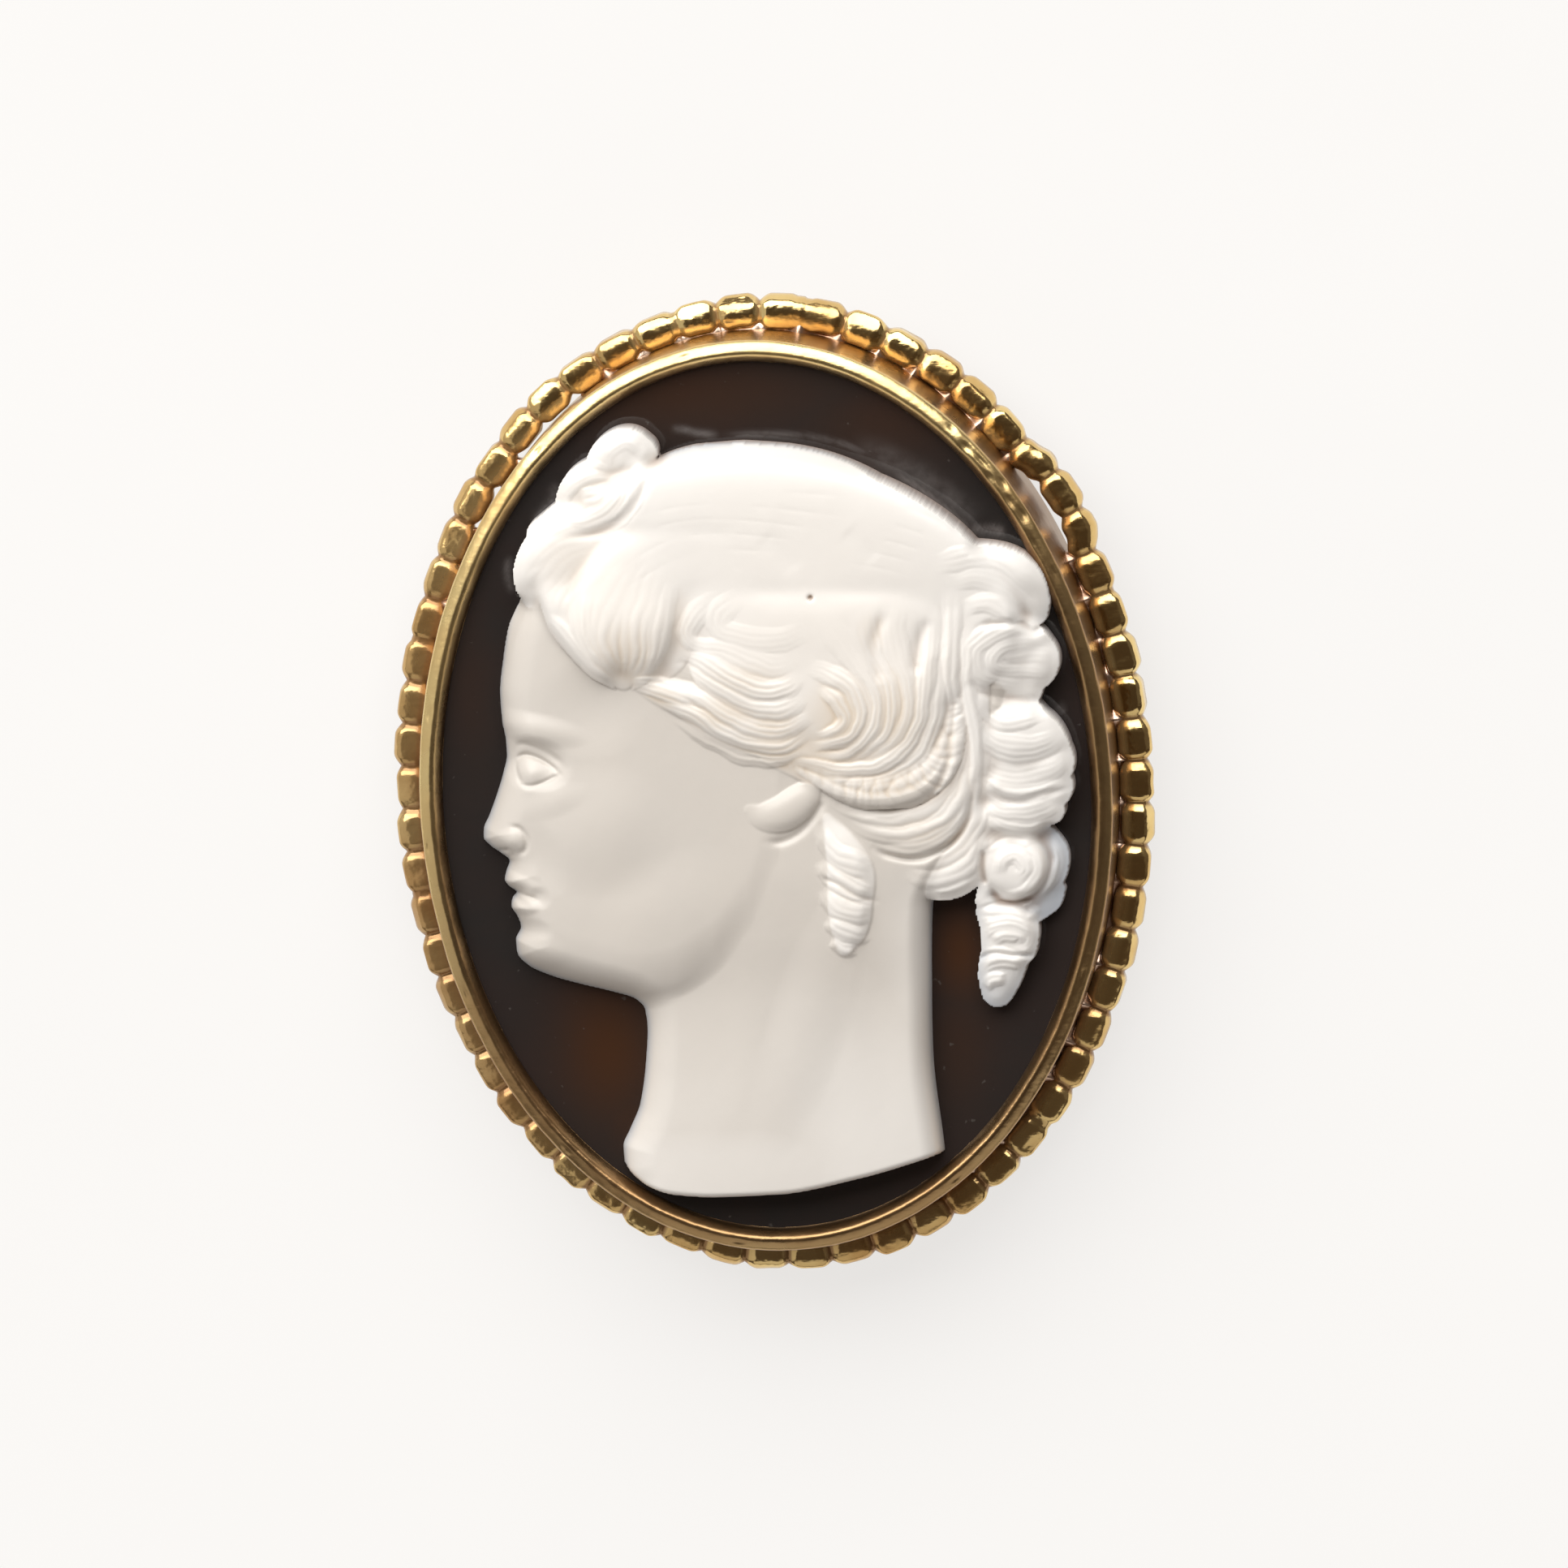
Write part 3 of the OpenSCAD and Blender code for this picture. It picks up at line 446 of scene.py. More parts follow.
# Grooves between the masses of hair. Each: width, depth, points across and up
HAIR_LINES = [
    (0.6, 0.06, [(-1.2, 9.8), (-2.4, 9.6), (-3.2, 8.9), (-3.4, 8.0), (-3.6, 7.1), (-4.0, 6.2),
        (-4.8, 5.6)]),
    (0.22, 0.14, [(-4.2, 15.2), (-4.5, 14.4), (-4.9, 13.7), (-5.6, 12.9), (-6.8, 12.3), (-8.4, 12.2)]),
    (0.22, 0.06, [(-7.3, 15.3), (-6.7, 15.05), (-6.0, 14.9), (-5.3, 14.95), (-4.8, 15.0)]),
    (0.5, 0.03, [(-0.8, 10.0), (1.0, 9.45), (3.0, 9.15), (4.6, 9.35), (6.2, 9.4), (8.4, 9.3)]),
    (0.5, 0.03, [(0.6, 12.1), (1.4, 11.3), (2.1, 10.3)]),
    (0.5, 0.03, [(4.3, 12.2), (5.0, 11.5), (5.7, 10.7)]),
    (0.4, 0.025, [(-6.0, 12.3), (-4.4, 12.35), (-2.0, 12.3), (-0.4, 12.1)]),
    (0.3, 0.1, [(6.1, 8.6), (5.6, 7.7), (5.35, 6.9), (5.5, 6.0), (5.7, 5.2)]),
    (0.28, 0.12, [(7.9, 8.2), (7.5, 7.3), (7.3, 6.4), (7.2, 5.5)]),
    (0.24, 0.1, [(9.5, 5.4), (9.9, 4.85), (10.8, 4.4), (11.7, 4.15), (12.9, 4.05)]),
    (0.16, 0.2, [(10.0, 7.6), (10.8, 7.75), (11.8, 7.6), (12.4, 7.2), (13.0, 7.5)]),
    (0.16, 0.14, [(10.0, 0.5), (10.6, -0.1), (11.5, -0.3), (12.6, -0.05), (13.6, 0.1)]),
    (0.18, 0.12, [(0.1, -1.75), (0.9, -1.75), (1.8, -1.25), (2.5, -0.4), (2.7, 0.1)]),
    (0.14, 0.2, [(9.5, 0.6), (9.1, -1.0), (8.2, -2.2), (6.9, -2.75), (5.6, -2.55), (4.9, -2.2)]),
    (0.2, 0.16, [(8.7, 3.4), (8.4, 1.6), (7.6, 0.2), (6.3, -0.4), (4.8, -0.5), (3.6, -0.15)]),
    (0.16, 0.3, [(12.3, -2.2), (12.6, -3.2), (12.2, -4.3), (11.4, -4.9), (10.3, -4.9), (9.9, -4.2)]),
    (0.14, 0.2, [(9.7, -2.4), (9.6, -3.4), (9.7, -4.2)]),
    (0.12, 0.16, [(9.4, -5.2), (10.2, -5.0), (11.0, -5.1), (12.0, -5.6)]),
    (0.12, 0.2, [(9.1, -7.6), (9.9, -7.2), (10.8, -7.3), (11.7, -7.4)]),
    (0.12, 0.12, [(2.5, -3.4), (3.2, -3.7), (4.0, -4.2), (4.9, -4.6)]),
]


def along_segment(a, b, x, y):
    """Share along the segment from a to b that is nearest to each point, and the distance."""
    dx, dy = b[0] - a[0], b[1] - a[1]
    u = np.clip(((x - a[0]) * dx + (y - a[1]) * dy) / (dx * dx + dy * dy + 1e-12), 0, 1)
    return u, np.hypot(x - a[0] - u * dx, y - a[1] - u * dy)


def chain_fields(line, x, y):
    """Nearest place on a line of rows for every point.

    Gives distance over radius, the same with its side, share along, crest, radius and length.
    """
    best = np.full(x.shape, np.inf)
    side = np.zeros_like(x)
    share = np.zeros_like(x)
    crest = np.zeros_like(x)
    radius = np.ones_like(x)
    lengths = lengths_along(*line[:, :2].T)
    for i in range(len(line) - 1):
        a, b = line[i], line[i + 1]
        u, away = along_segment(a, b, x, y)
        r = np.maximum(a[3] + (b[3] - a[3]) * u, 0.05)
        near = away / r < best
        cross = (x - a[0]) * (b[1] - a[1]) - (y - a[1]) * (b[0] - a[0])
        best = np.where(near, away / r, best)
        side = np.where(near, np.sign(cross) * away / r, side)
        share = np.where(near, (lengths[i] + u * (lengths[i + 1] - lengths[i])) / lengths[-1], share)
        crest = np.where(near, a[2] + (b[2] - a[2]) * u, crest)
        radius = np.where(near, r, radius)
    return best, side, share, crest, radius, lengths[-1]


def line_distance(points, x, y):
    """Distance to a smooth line through the points, and the share along it."""
    line = spline(points)
    best = np.full(x.shape, np.inf)
    share = np.zeros_like(x)
    for i in range(len(line) - 1):
        u, away = along_segment(line[i], line[i + 1], x, y)
        near = away < best
        best = np.where(near, away, best)
        share = np.where(near, (i + u) / (len(line) - 1), share)
    return best, share


def window(points, x, y, margin):
    """Slice of the grid within the margin of the points."""
    p = np.array(points, float)[:, :2]
    columns = np.where((x[0] > p[:, 0].min() - margin) & (x[0] < p[:, 0].max() + margin))[0]
    lines = np.where((y[:, 0] > p[:, 1].min() - margin) & (y[:, 0] < p[:, 1].max() + margin))[0]
    return slice(lines[0], lines[-1] + 1), slice(columns[0], columns[-1] + 1)


def mass_height(rows, drop, power, x, y):
    """Height of one mass of hair, and how far inside its outline a point lies."""
    best, _, _, crest, radius, _ = chain_fields(spline(rows, 16), x, y)
    full = np.maximum(1 - best ** power, 0) ** (1 / power)
    return np.where(best < 1, crest - drop * (1 - full), -1), (1 - best) * radius


def lock_rise(rows, strands, lift, seed, x, y):
    """Rise of one combed lock over its mass, with its carved strands."""
    line = spline([(a, b, 0, r) for a, b, r in rows], 20)
    best, side, share, _, radius, length = chain_fields(line, x, y)
    draw = np.random.default_rng(seed)
    phase, pace = draw.uniform(0, 6.28), draw.uniform(0.5, 0.9)
    along = share * length
    drift = 0.22 * np.sin(along * pace + phase) + 0.08 * np.sin(along * 2.1 + 2 * phase)
    q = side * strands / 2 + drift + phase
    groove = np.round(q)
    chance = 0.5 + 0.5 * np.sin(groove * 12.9898 + phase)
    fade = 0.65 + 0.35 * np.sin(along * 1.1 + groove * 2.3 + phase)
    width = 0.2 + 0.1 * chance
    ridge = np.abs(np.sin(np.pi * q))
    ends = faded_ends(share, 0.25)
    body = np.maximum(1 - best * best, 0) ** 0.7
    depth = 0.32 * lift * np.minimum(1, radius / strands * 5)
    cut = depth * ((0.3 + 0.7 * chance) * fade * np.exp(-((q - groove) / width) ** 2) + 0.3 * (1 - ridge))
    return np.where(best < 1, (lift * body - cut * smoothstep(1.0, 0.6, best)) * ends, 0)


def near_line(px, py, x, y, reach):
    """Distance to a line of close points for the places within reach of it, else the reach."""
    away = np.full(x.shape, float(reach))
    for i in range(len(px) - 1):
        ends = [(px[i], py[i]), (px[i + 1], py[i + 1])]
        part = window(ends, x, y, reach)
        away[part] = np.minimum(away[part], along_segment(*ends, x[part], y[part])[1])
    return away


def dome_between(front, back, x):
    u = np.clip((x - front) / np.maximum(back - front, 0.5), 0.0, 1.0)
    return np.maximum(1 - np.abs(2 * u - 1) ** DOME_POWER, 0) ** (1 / DOME_POWER)


def rounded_edge(distance, width):
    return np.sqrt(np.maximum(1 - (1 - np.clip(distance / width, 0, 1)) ** 2, 0))


def soft_forms(forms, x, y):
    total = np.zeros_like(x)
    for cx, cy, rx, ry, turn, rise in forms:
        c, s = math.cos(math.radians(turn)), math.sin(math.radians(turn))
        dx, dy = x - cx, y - cy
        away = ((dx * c + dy * s) / rx) ** 2 + ((dy * c - dx * s) / ry) ** 2
        total += rise * np.maximum(1 - away, 0) ** 2
    return total


def cut_lines(lines, height, x, y):
    """Cuts soft V grooves along lines of points, in place."""
    for width, depth, points in lines:
        part = window(points, x, y, width * 4)
        away, share = line_distance(points, x[part], y[part])
        height[part] -= depth * np.exp(-(away / width) ** 2) * (0.15 + 0.85 * faded_ends(share, 0.2))


def head_height(x, y):
    """Height of the bust, neck, face and skull, and how far inside their outline a point lies."""
    front = smooth_lookup(FRONT_LINE, y)
    back = smooth_lookup(BACK_LINE, y)
    up = np.linspace(CUT_LINE[0][1] - 1.5, TOP_Y, 330)
    from_front = near_line(smooth_lookup(FRONT_LINE, up), up, x, y, EDGE_W + 0.4) * np.sign(x - front)
    from_back = near_line(smooth_lookup(BACK_LINE, up), up, x, y, EDGE_W + 0.4) * np.sign(back - x)
    jaw = smooth_lookup(JAW_LINE, x)
    slope = np.gradient(jaw, x[0], axis=1)
    from_jaw = (y - jaw) / np.sqrt(1 + slope * slope)
    cut = y - smooth_lookup(CUT_LINE, x)
    inside = smooth_min(from_front, from_back, 0.3)
    neck = dome_between(smooth_lookup(NECK_DOME, y), back + 2.6, x) * smooth_lookup(NECK_HEIGHT, y)
    neck = neck + soft_forms(NECK_FORMS, x, y)
    face = dome_between(smooth_lookup(FACE_DOME, y), back + 0.3, x) * smooth_lookup(FACE_HEIGHT, y)
    face = face + soft_forms(SOFT_FORMS, x, y)
    cut_lines(FACE_LINES, face, x, y)
    face = np.where(from_jaw > 0, face * (0.35 + 0.65 * rounded_edge(from_jaw, JAW_W)), 0)
    height = smooth_max(neck, face, 0.22)
    # The join of jaw and throat is evened out
    throat = spot(x, y, -5.6, -9.1, 1.3, 0.8, 4)
    height = height + (blurred(height, int(round(0.35 / (x[0, 1] - x[0, 0])))) - height) * throat
    side = rounded_edge(smooth_min(from_front, 1.6 * from_back, 0.3), EDGE_W)
    height = height * side * (0.6 + 0.4 * rounded_edge(cut, CUT_W))
    inside = np.minimum(np.minimum(inside, cut), TOP_Y - y)
    return height, inside


def rope_height(x, y):
    """Height of the twisted rope of hair."""
    best, side, share, crest, radius, _ = chain_fields(spline(ROPE, 16), x, y)
    # Two turning strands, the first one deeper, and a groove along the crest
    dome = np.sqrt(np.maximum(1 - best * best, 0))
    turn = share * ROPE_TURNS + 0.25 * np.sin(share * 19)
    twist = np.abs(np.sin(np.pi * (turn + 0.55 * np.abs(side + 0.15 * np.sin(share * 40)))))
    other = np.abs(np.sin(np.pi * (turn * 2 - side * 0.5)))
    depth = 0.05 + 0.02 * np.sin(share * 33 + 2)
    height = crest - radius * 0.45 * (1 - dome) - depth * (1 - twist) ** 1.3 - 0.02 * (1 - other)
    height = height - 0.045 * np.exp(-(side / 0.2) ** 2)
    return np.where(best < 1, height, -1)


def calm(x, y):
    """Share of the strands' depth left where the hair is worn or softly carved."""
    total = np.ones_like(x)
    for cx, cy, rx, ry, less in CALM:
        total = total * (1 - less * spot(x, y, cx, cy, rx, ry, 4))
    return total


def smoothed(height, solid, reach, times):
    """The height evened out inside its outline, with nothing drawn in from beyond it."""
    weight = solid.astype(float)
    total, share = np.where(solid, height, 0), weight
    for _ in range(times):
        total, share = blurred(total, reach), blurred(share, reach)
    return np.where(solid, total / np.maximum(share, 1e-6), height)


def add_masses(height, inside, hair, x, y):
    """Lays the masses of hair over the head, in place, and gives where the surface is to be soft."""
    soft = hair.copy()
    for name, drop, rows in MASSES:
        part = window(rows, x, y, max(row[3] for row in rows) + 0.2)
        power = CROWN_POWER if name == "crown" else DOME_POWER
        mass, reach = mass_height(rows, drop, power, x[part], y[part])
        cover = smoothstep(-0.1, 0.1, mass - height[part])
        soft[part] = np.maximum(soft[part], cover)
        if not name.startswith("ear"):
            hair[part] = np.maximum(hair[part], cover)
        height[part] = smooth_max(height[part], mass, 0.15)
        inside[part] = np.maximum(inside[part], reach)
    return soft


def locks_rise(x, y):
    """Rise of all the combed locks, on places that wander a little."""
    rise = np.zeros_like(x)
    bent_x = x + 0.07 * wander(x, y, 41, 2.6)
    bent_y = y + 0.07 * wander(x, y, 42, 2.6)
    for seed, (strands, lift, rows) in enumerate(LOCKS):
        part = window(rows, x, y, max(row[2] for row in rows) + 0.35)
        lock = lock_rise(rows, strands, lift, seed, bent_x[part], bent_y[part])
        rise[part] = (rise[part] ** LOCK_JOIN + np.maximum(lock, 0) ** LOCK_JOIN) ** (1 / LOCK_JOIN)
    return rise


def crown_strands(x, y):
    """Depth of the faint strands that run from the knot over the skull."""
    flow = (y + 0.03 * (x + 1.0) ** 2 - 0.6 * np.sin(x * 0.25)) / 0.8
    comb = (1 - np.abs(np.sin(np.pi * (flow + 0.4 * np.sin(x * 0.5) + 0.3 * np.sin(x * 0.31 + y))))) ** 2
    crown = smoothstep(9.6, 10.6, y) * smoothstep(-7.0, -5.0, x) * smoothstep(-0.2, 0.8, wander(x, y, 8, 5.0))
    return 0.012 * comb * crown


def carving(x, y):
    """Height of the whole carving above the dark layer, its inside distance and its hair."""
    step = x[0, 1] - x[0, 0]
    height, inside = head_height(x, y)
    height = np.where(inside > 0, height, -1)
    hair = smoothstep(9.4, 10.4, y) * smoothstep(-7.0, -5.0, x)
    soft = add_masses(height, inside, hair, x, y)
    even = smoothed(height, inside > 0, int(round(EVEN_REACH / step)), 2)
    height = height + (even - height) * np.maximum(soft, smoothstep(6.5, 8.5, y))
    height = height + locks_rise(x, y) * smoothstep(0.0, 0.6, inside) * calm(x, y)
    part = window(ROPE, x, y, 0.8)
    height[part] = smooth_max(height[part], rope_height(x[part], y[part]), 0.12)
    cut_lines(HAIR_LINES, height, x, y)
    height -= crown_strands(x, y)
    height = height - SPECK[2] * np.exp(-((x - SPECK[0]) ** 2 + (y - SPECK[1]) ** 2) / SPECK[3] ** 2)
    uneven = 0.006 * wander(x, y, 5, 3.6)
    return height + uneven * smoothstep(0.2, 1.2, inside), inside, hair


def placed(name, data):
    made = bpy.data.objects.new(name, data)
    bpy.context.scene.collection.objects.link(made)
    return made


def mesh_object(name, points, faces):
    """A piece from points in millimetres and faces of point numbers."""
    mesh = bpy.data.meshes.new(name)
    mesh.from_pydata((np.asarray(points, float) * MM).tolist(), [], [list(f) for f in faces])
    mesh.validate()
    mesh.update()
    mesh.polygons.foreach_set("use_smooth", [True] * len(mesh.polygons))
    piece = placed(name, mesh)
    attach(piece, "root")
    return piece


def strongest(spots, x, y):
    """Strength of the strongest of some soft round spots at each place."""
    total = np.zeros_like(x)
    for cx, cy, rx, ry, strength in spots:
        total = np.maximum(total, strength * spot(x, y, cx, cy, rx, ry))
    return total


def set_field(piece, name, values):
    """Stores one number for each point of a mesh, read by its material."""
    field = piece.data.attributes.new(name, "FLOAT", "POINT")
    field.data.foreach_set("value", np.asarray(values, np.float32).ravel())


def corners(grid):
    """The four corners of every cell of a grid: lower left and right, upper left and right."""
    return grid[:-1, :-1], grid[:-1, 1:], grid[1:, :-1], grid[1:, 1:]


def corner_count(cells, grid):
    """How many of the cells touch each point of the grid."""
    count = np.zeros(grid.shape, int)
    for part in corners(count):
        part += cells
    return count


def joined_cells(cells):
    """Cells of the grid, with each two that meet only at a corner joined by the ones beside them."""
    cells = cells.copy()
    while True:
        a, b, c, d = corners(cells)
        lines, columns = np.where((a & d & ~b & ~c) | (b & c & ~a & ~d))
        if len(lines) == 0:
            return cells
        cells[lines, columns] = True
        cells[lines, columns + 1] = True


def close_below(mesh, floor):
    """Closes a mesh with walls from its edge down to the floor, and a flat underside."""
    bm = bmesh.new()
    bm.from_mesh(mesh)
    edge = [e for e in bm.edges if e.is_boundary and max(v.co.z for v in e.verts) > floor + 1e-7]
    if edge:
        made = bmesh.ops.extrude_edge_only(bm, edges=edge)["geom"]
        for item in made:
            if isinstance(item, bmesh.types.BMVert):
                item.co.z = floor
            if isinstance(item, bmesh.types.BMFace):
                item.smooth = False
        low = [v for v in bm.verts if v.co.z < floor + 1e-7]
        bmesh.ops.remove_doubles(bm, verts=low, dist=1e-7)
    edge = [e for e in bm.edges if e.is_boundary]
    bmesh.ops.triangle_fill(bm, use_beauty=False, use_dissolve=False, edges=edge)
    bmesh.ops.recalc_face_normals(bm, faces=bm.faces)
    bm.to_mesh(mesh)
    bm.free()


def carved_piece(name, cells, places, fields, seam):
    """Closed piece of the carving over some cells of the grid, with its numbers for the material.

    The seam gives the normals along the shared edge, and zeros elsewhere.
    """
    number = np.arange(places[..., 0].size).reshape(places.shape[:2])
    quads = np.stack([number[:-1, :-1], number[:-1, 1:], number[1:, 1:], number[1:, :-1]], -1)[cells]
    used, quads = np.unique(quads, return_inverse=True)
    piece = mesh_object(name, places.reshape(-1, 3)[used], quads.reshape(-1, 4))
    for key, values in fields.items():
        set_field(piece, key, values.ravel()[used])
    mesh = piece.data
    shared = mesh.attributes.new("shared", "FLOAT_VECTOR", "POINT")
    shared.data.foreach_set("vector", seam.reshape(-1, 3)[used].astype(np.float32).ravel())
    close_below(mesh, (GROUND_Z - SINK) * MM)
    vectors = np.zeros(3 * len(mesh.vertices), np.float32)
    mesh.attributes["shared"].data.foreach_get("vector", vectors)
    mesh.attributes.remove(mesh.attributes["shared"])
    at_corner = np.zeros(len(mesh.loops), np.int32)
    mesh.loops.foreach_get("vertex_index", at_corner)
    smooth = np.repeat([p.use_smooth for p in mesh.polygons], [p.loop_total for p in mesh.polygons])
    mesh.normals_split_custom_set((vectors.reshape(-1, 3)[at_corner] * smooth[:, None]).tolist())
    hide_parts("relief")
    return piece


def drawn_in(x, y, inside, solid):
    """The grid's places, with those just outside the outline moved onto it."""
    gy, gx = np.gradient(inside, GRID_STEP)
    steep = np.maximum(gx * gx + gy * gy, 0.25)
    move = np.clip(-inside, 0, 1.5 * GRID_STEP)
    px = np.where(solid, x, x + move * gx / steep)
    py = np.where(solid, y, y + move * gy / steep)
    for _ in range(2):
        rest = np.clip(-at_places(inside, x, y, px, py), -GRID_STEP, 0.5 * GRID_STEP)
        px = np.where(solid, px, px + rest * gx / steep)
        py = np.where(solid, py, py + rest * gy / steep)
    return px, py


def stone_fields(x, y, top, hair):
    """Numbers that the material of the white layer reads, for a top given by its height."""
    # Painted shade: brown in the crevices of the hair, by how far the surface lies below its blurred
    # surroundings
    near = top
    for _ in range(3):
        near = blurred(near, int(round(SHADE_REACH / GRID_STEP)))
    crevice_shade_and_speck = np.clip((near - top - 0.02) / 0.3, 0, 1) * hair
    # The cream tint, painted stronger in the hollows as shade
    close = blurred(blurred(top, 2), 2) - top
    cream_and_shade = strongest(CREAM_AND_SHADE, x, y) * np.clip(0.7 + close / 0.05, 0.45, 1)
    # The field "hair" also makes the stone whiter down the neck and along its back
    pale = 0.65 * smoothstep(-6.5, -14.5, y) * (0.35 + 0.65 * smoothstep(-1, 3.5, x))
    pale = np.maximum(pale, 0.5 * smoothstep(-13.5, -16, y))
    pale = np.maximum(pale, 0.6 * smoothstep(4, 8, x) * smoothstep(-2, -5, y))
    return {
        # Painted crevice shade, joined with the dark speck
        "crevice_shade_and_speck": np.maximum(crevice_shade_and_speck, np.hypot(x - SPECK[0], y - SPECK[1]) < 1.1 * SPECK[3]),
        "thin": np.where(hair > 0.3, smoothstep(1.35, 0.3, top), 0.6 * smoothstep(0.85, 0.25, top)),
        "hair": np.maximum(hair, pale),
        "cream_and_shade": hair * np.maximum(cream_and_shade, 0.2 * smoothstep(2.2, 3.1, top)),
    }


def seam_normals(z, solid, hair_cells, bust_cells):
    """Normals of the whole surface where the two pieces meet, and zeros elsewhere."""
    slope_y, slope_x = np.gradient(z, GRID_STEP)
    seam = np.stack([-slope_x, -slope_y, np.ones_like(z)], -1)
    seam = seam / np.linalg.norm(seam, axis=-1, keepdims=True)
    on_seam = corner_count(hair_cells, solid) * corner_count(bust_cells, solid) > 0
    return seam * (on_seam & (blurred(solid.astype(float), 1) > 0.999))[..., None]


def build_relief(x, y, height, inside, hair):
    """The bust and the hair as two closed pieces that share the edge between them."""
    solid = inside > 0
    px, py = drawn_in(x, y, inside, solid)
    pz = np.where(solid, GROUND_Z + np.maximum(height, 0.0), GROUND_Z - SINK)
    places = np.stack([px, py, pz], -1)
    fields = stone_fields(x, y, np.where(solid, np.maximum(height, 0), 0), hair)
    solid_cells = np.logical_or.reduce(corners(solid))
    a, b, c, d = corners(hair)
    hair_cells = blurred(((a + c + b + d) / 4 > 0.5).astype(float), 5) > 0.001
    hair_cells = joined_cells(hair_cells & solid_cells) & solid_cells
    bust_cells = solid_cells & ~hair_cells
    seam = seam_normals(pz, solid, hair_cells, bust_cells)
    return [carved_piece("relief_hair", hair_cells, places, fields, seam),
            carved_piece("relief_bust", bust_cells, places, fields, seam)]


# Gold mount: bezel and beaded wire, in millimetres

BEZEL_STEPS = 760
BEADS = 62
BEAD_RINGS = 18
BEAD_SIDES = 30
SOLDER_STEPS = 1860
FIRST_BEAD = 0.32
# Outline of a bead along the wire: half its full part and its shoulder, as shares of the pitch
BEAD_FULL = 0.23
BEAD_SHOULDER = 0.27
BEAD_POWER = 1.65
# Section of the wire, squarer than a circle: powers of the cosine and sine
SQUARE_OUT = 0.65
SQUARE_UP = 0.75
# Share of the height left above the worn crown
CROWN_LEFT = 0.25

# Section of the bezel above the wall. Columns: distance out from the stone's face, height above
# the stone's face
RIM_SECTION = [
    (1.0, -0.6), (1.0, -0.05), (1.0, 0.25), (0.995, 0.4), (0.975, 0.475), (0.93, 0.53), (0.86, 0.585),
    (0.78, 0.63), (0.7, 0.668), (0.62, 0.7), (0.55, 0.723), (0.48, 0.732), (0.41, 0.722), (0.35, 0.69),
    (0.29, 0.635), (0.23, 0.56), (0.17, 0.47), (0.11, 0.37), (0.06, 0.265), (0.02, 0.16), (0.0, 0.05),
]
# The rest of the section: lip, seat, bearer and wall. Columns: distance out, level
CHAMFER = 0.08
INNER_SECTION = [
    (0.0, LIP_Z), (WALL_IN, LIP_Z), (WALL_IN, SEAT_Z), (WALL_IN - BEARER_W, SEAT_Z),
    (WALL_IN - BEARER_W, BEARER_Z), (WALL_IN, BEARER_Z), (WALL_IN, BACK_Z + CHAMFER),
    (WALL_IN + CHAMFER, BACK_Z), (BEZEL_W - CHAMFER, BACK_Z), (BEZEL_W, BACK_Z + CHAMFER),
    (BEZEL_W, BEARER_Z), (BEZEL_W, SEAT_Z),
]
# Grime and painted shade along the rim's section, darkest at the stone's edge and on the outer wall. Columns:
# distance out, grime and shade
RIM_GRIME_AND_SHADE = [
    (0.0, 1.0), (0.04, 0.95), (0.1, 0.8), (0.16, 0.7), (0.3, 0.6), (0.42, 0.15), (0.93, 0.0), (1.0, 0.6),
]
# Nicks in the rim. Columns: angle round the oval in degrees, distance out, length, width, depth
NICKS = [
    (38.0, 0.72, 0.35, 0.16, 0.09), (40.5, 0.6, 0.3, 0.12, 0.08), (43.2, 0.78, 0.28, 0.14, 0.1),
    (45.0, 0.5, 0.22, 0.12, 0.08), (47.6, 0.7, 0.4, 0.1, 0.07), (50.5, 0.62, 0.25, 0.16, 0.09),
    (54.0, 0.8, 0.2, 0.12, 0.06), (33.5, 0.55, 0.5, 0.08, 0.05), (29.0, 0.72, 0.3, 0.1, 0.05),
    (168.0, 0.7, 0.2, 0.1, 0.05), (185.0, 0.74, 0.25, 0.1, 0.06), (205.0, 0.68, 0.3, 0.1, 0.05),
    (231.0, 0.74, 0.2, 0.12, 0.06), (262.0, 0.7, 0.3, 0.1, 0.05), (300.0, 0.72, 0.25, 0.1, 0.05),
    (335.0, 0.66, 0.3, 0.1, 0.05), (100.0, 0.7, 0.3, 0.1, 0.05), (128.0, 0.74, 0.2, 0.1, 0.05),
]
# Stretches where the wire stands off the wall. Columns: angle round the oval in degrees, half
# its length, gap
SLOTS = [
    (36.5, 5.0, 0.3), (123.0, 2.0, 0.08), (129.5, 2.0, 0.08), (141.0, 2.0, 0.08), (262.0, 2.0, 0.05),
]
# Beads that differ. Columns: angle in degrees, share of the waist filled after it, girth
ODD_BEADS = [
    (79.0, 0.8, 1.0), (84.5, 0.0, 1.03), (96.0, 0.3, 0.97), (181.5, 0.0, 0.9), (187.0, 0.35, 0.97),
    (243.0, 0.0, 0.94), (312.0, 0.45, 1.0), (21.0, 0.25, 1.0), (156.0, 0.4, 0.98),
]


def oval_point(angle, out):
    """Place at the given angle in radians, moved out from the edge of the stone's face."""
    nx, ny = HALF_Y * np.cos(angle), HALF_X * np.sin(angle)
    size = np.hypot(nx, ny)
    return HALF_X * np.cos(angle) + out * nx / size, HALF_Y * np.sin(angle) + out * ny / size


def ring_mesh(name, rings):
    """Closed ring of closed sections: an array of sections by points by three."""
    sections, count, _ = rings.shape
    a, b = np.meshgrid(np.arange(sections), np.arange(count), indexing="ij")
    c, d = (a + 1) % sections, (b + 1) % count
    faces = np.stack([a * count + b, c * count + b, c * count + d, a * count + d], -1).reshape(-1, 4)
    return mesh_object(name, rings.reshape(-1, 3), faces)


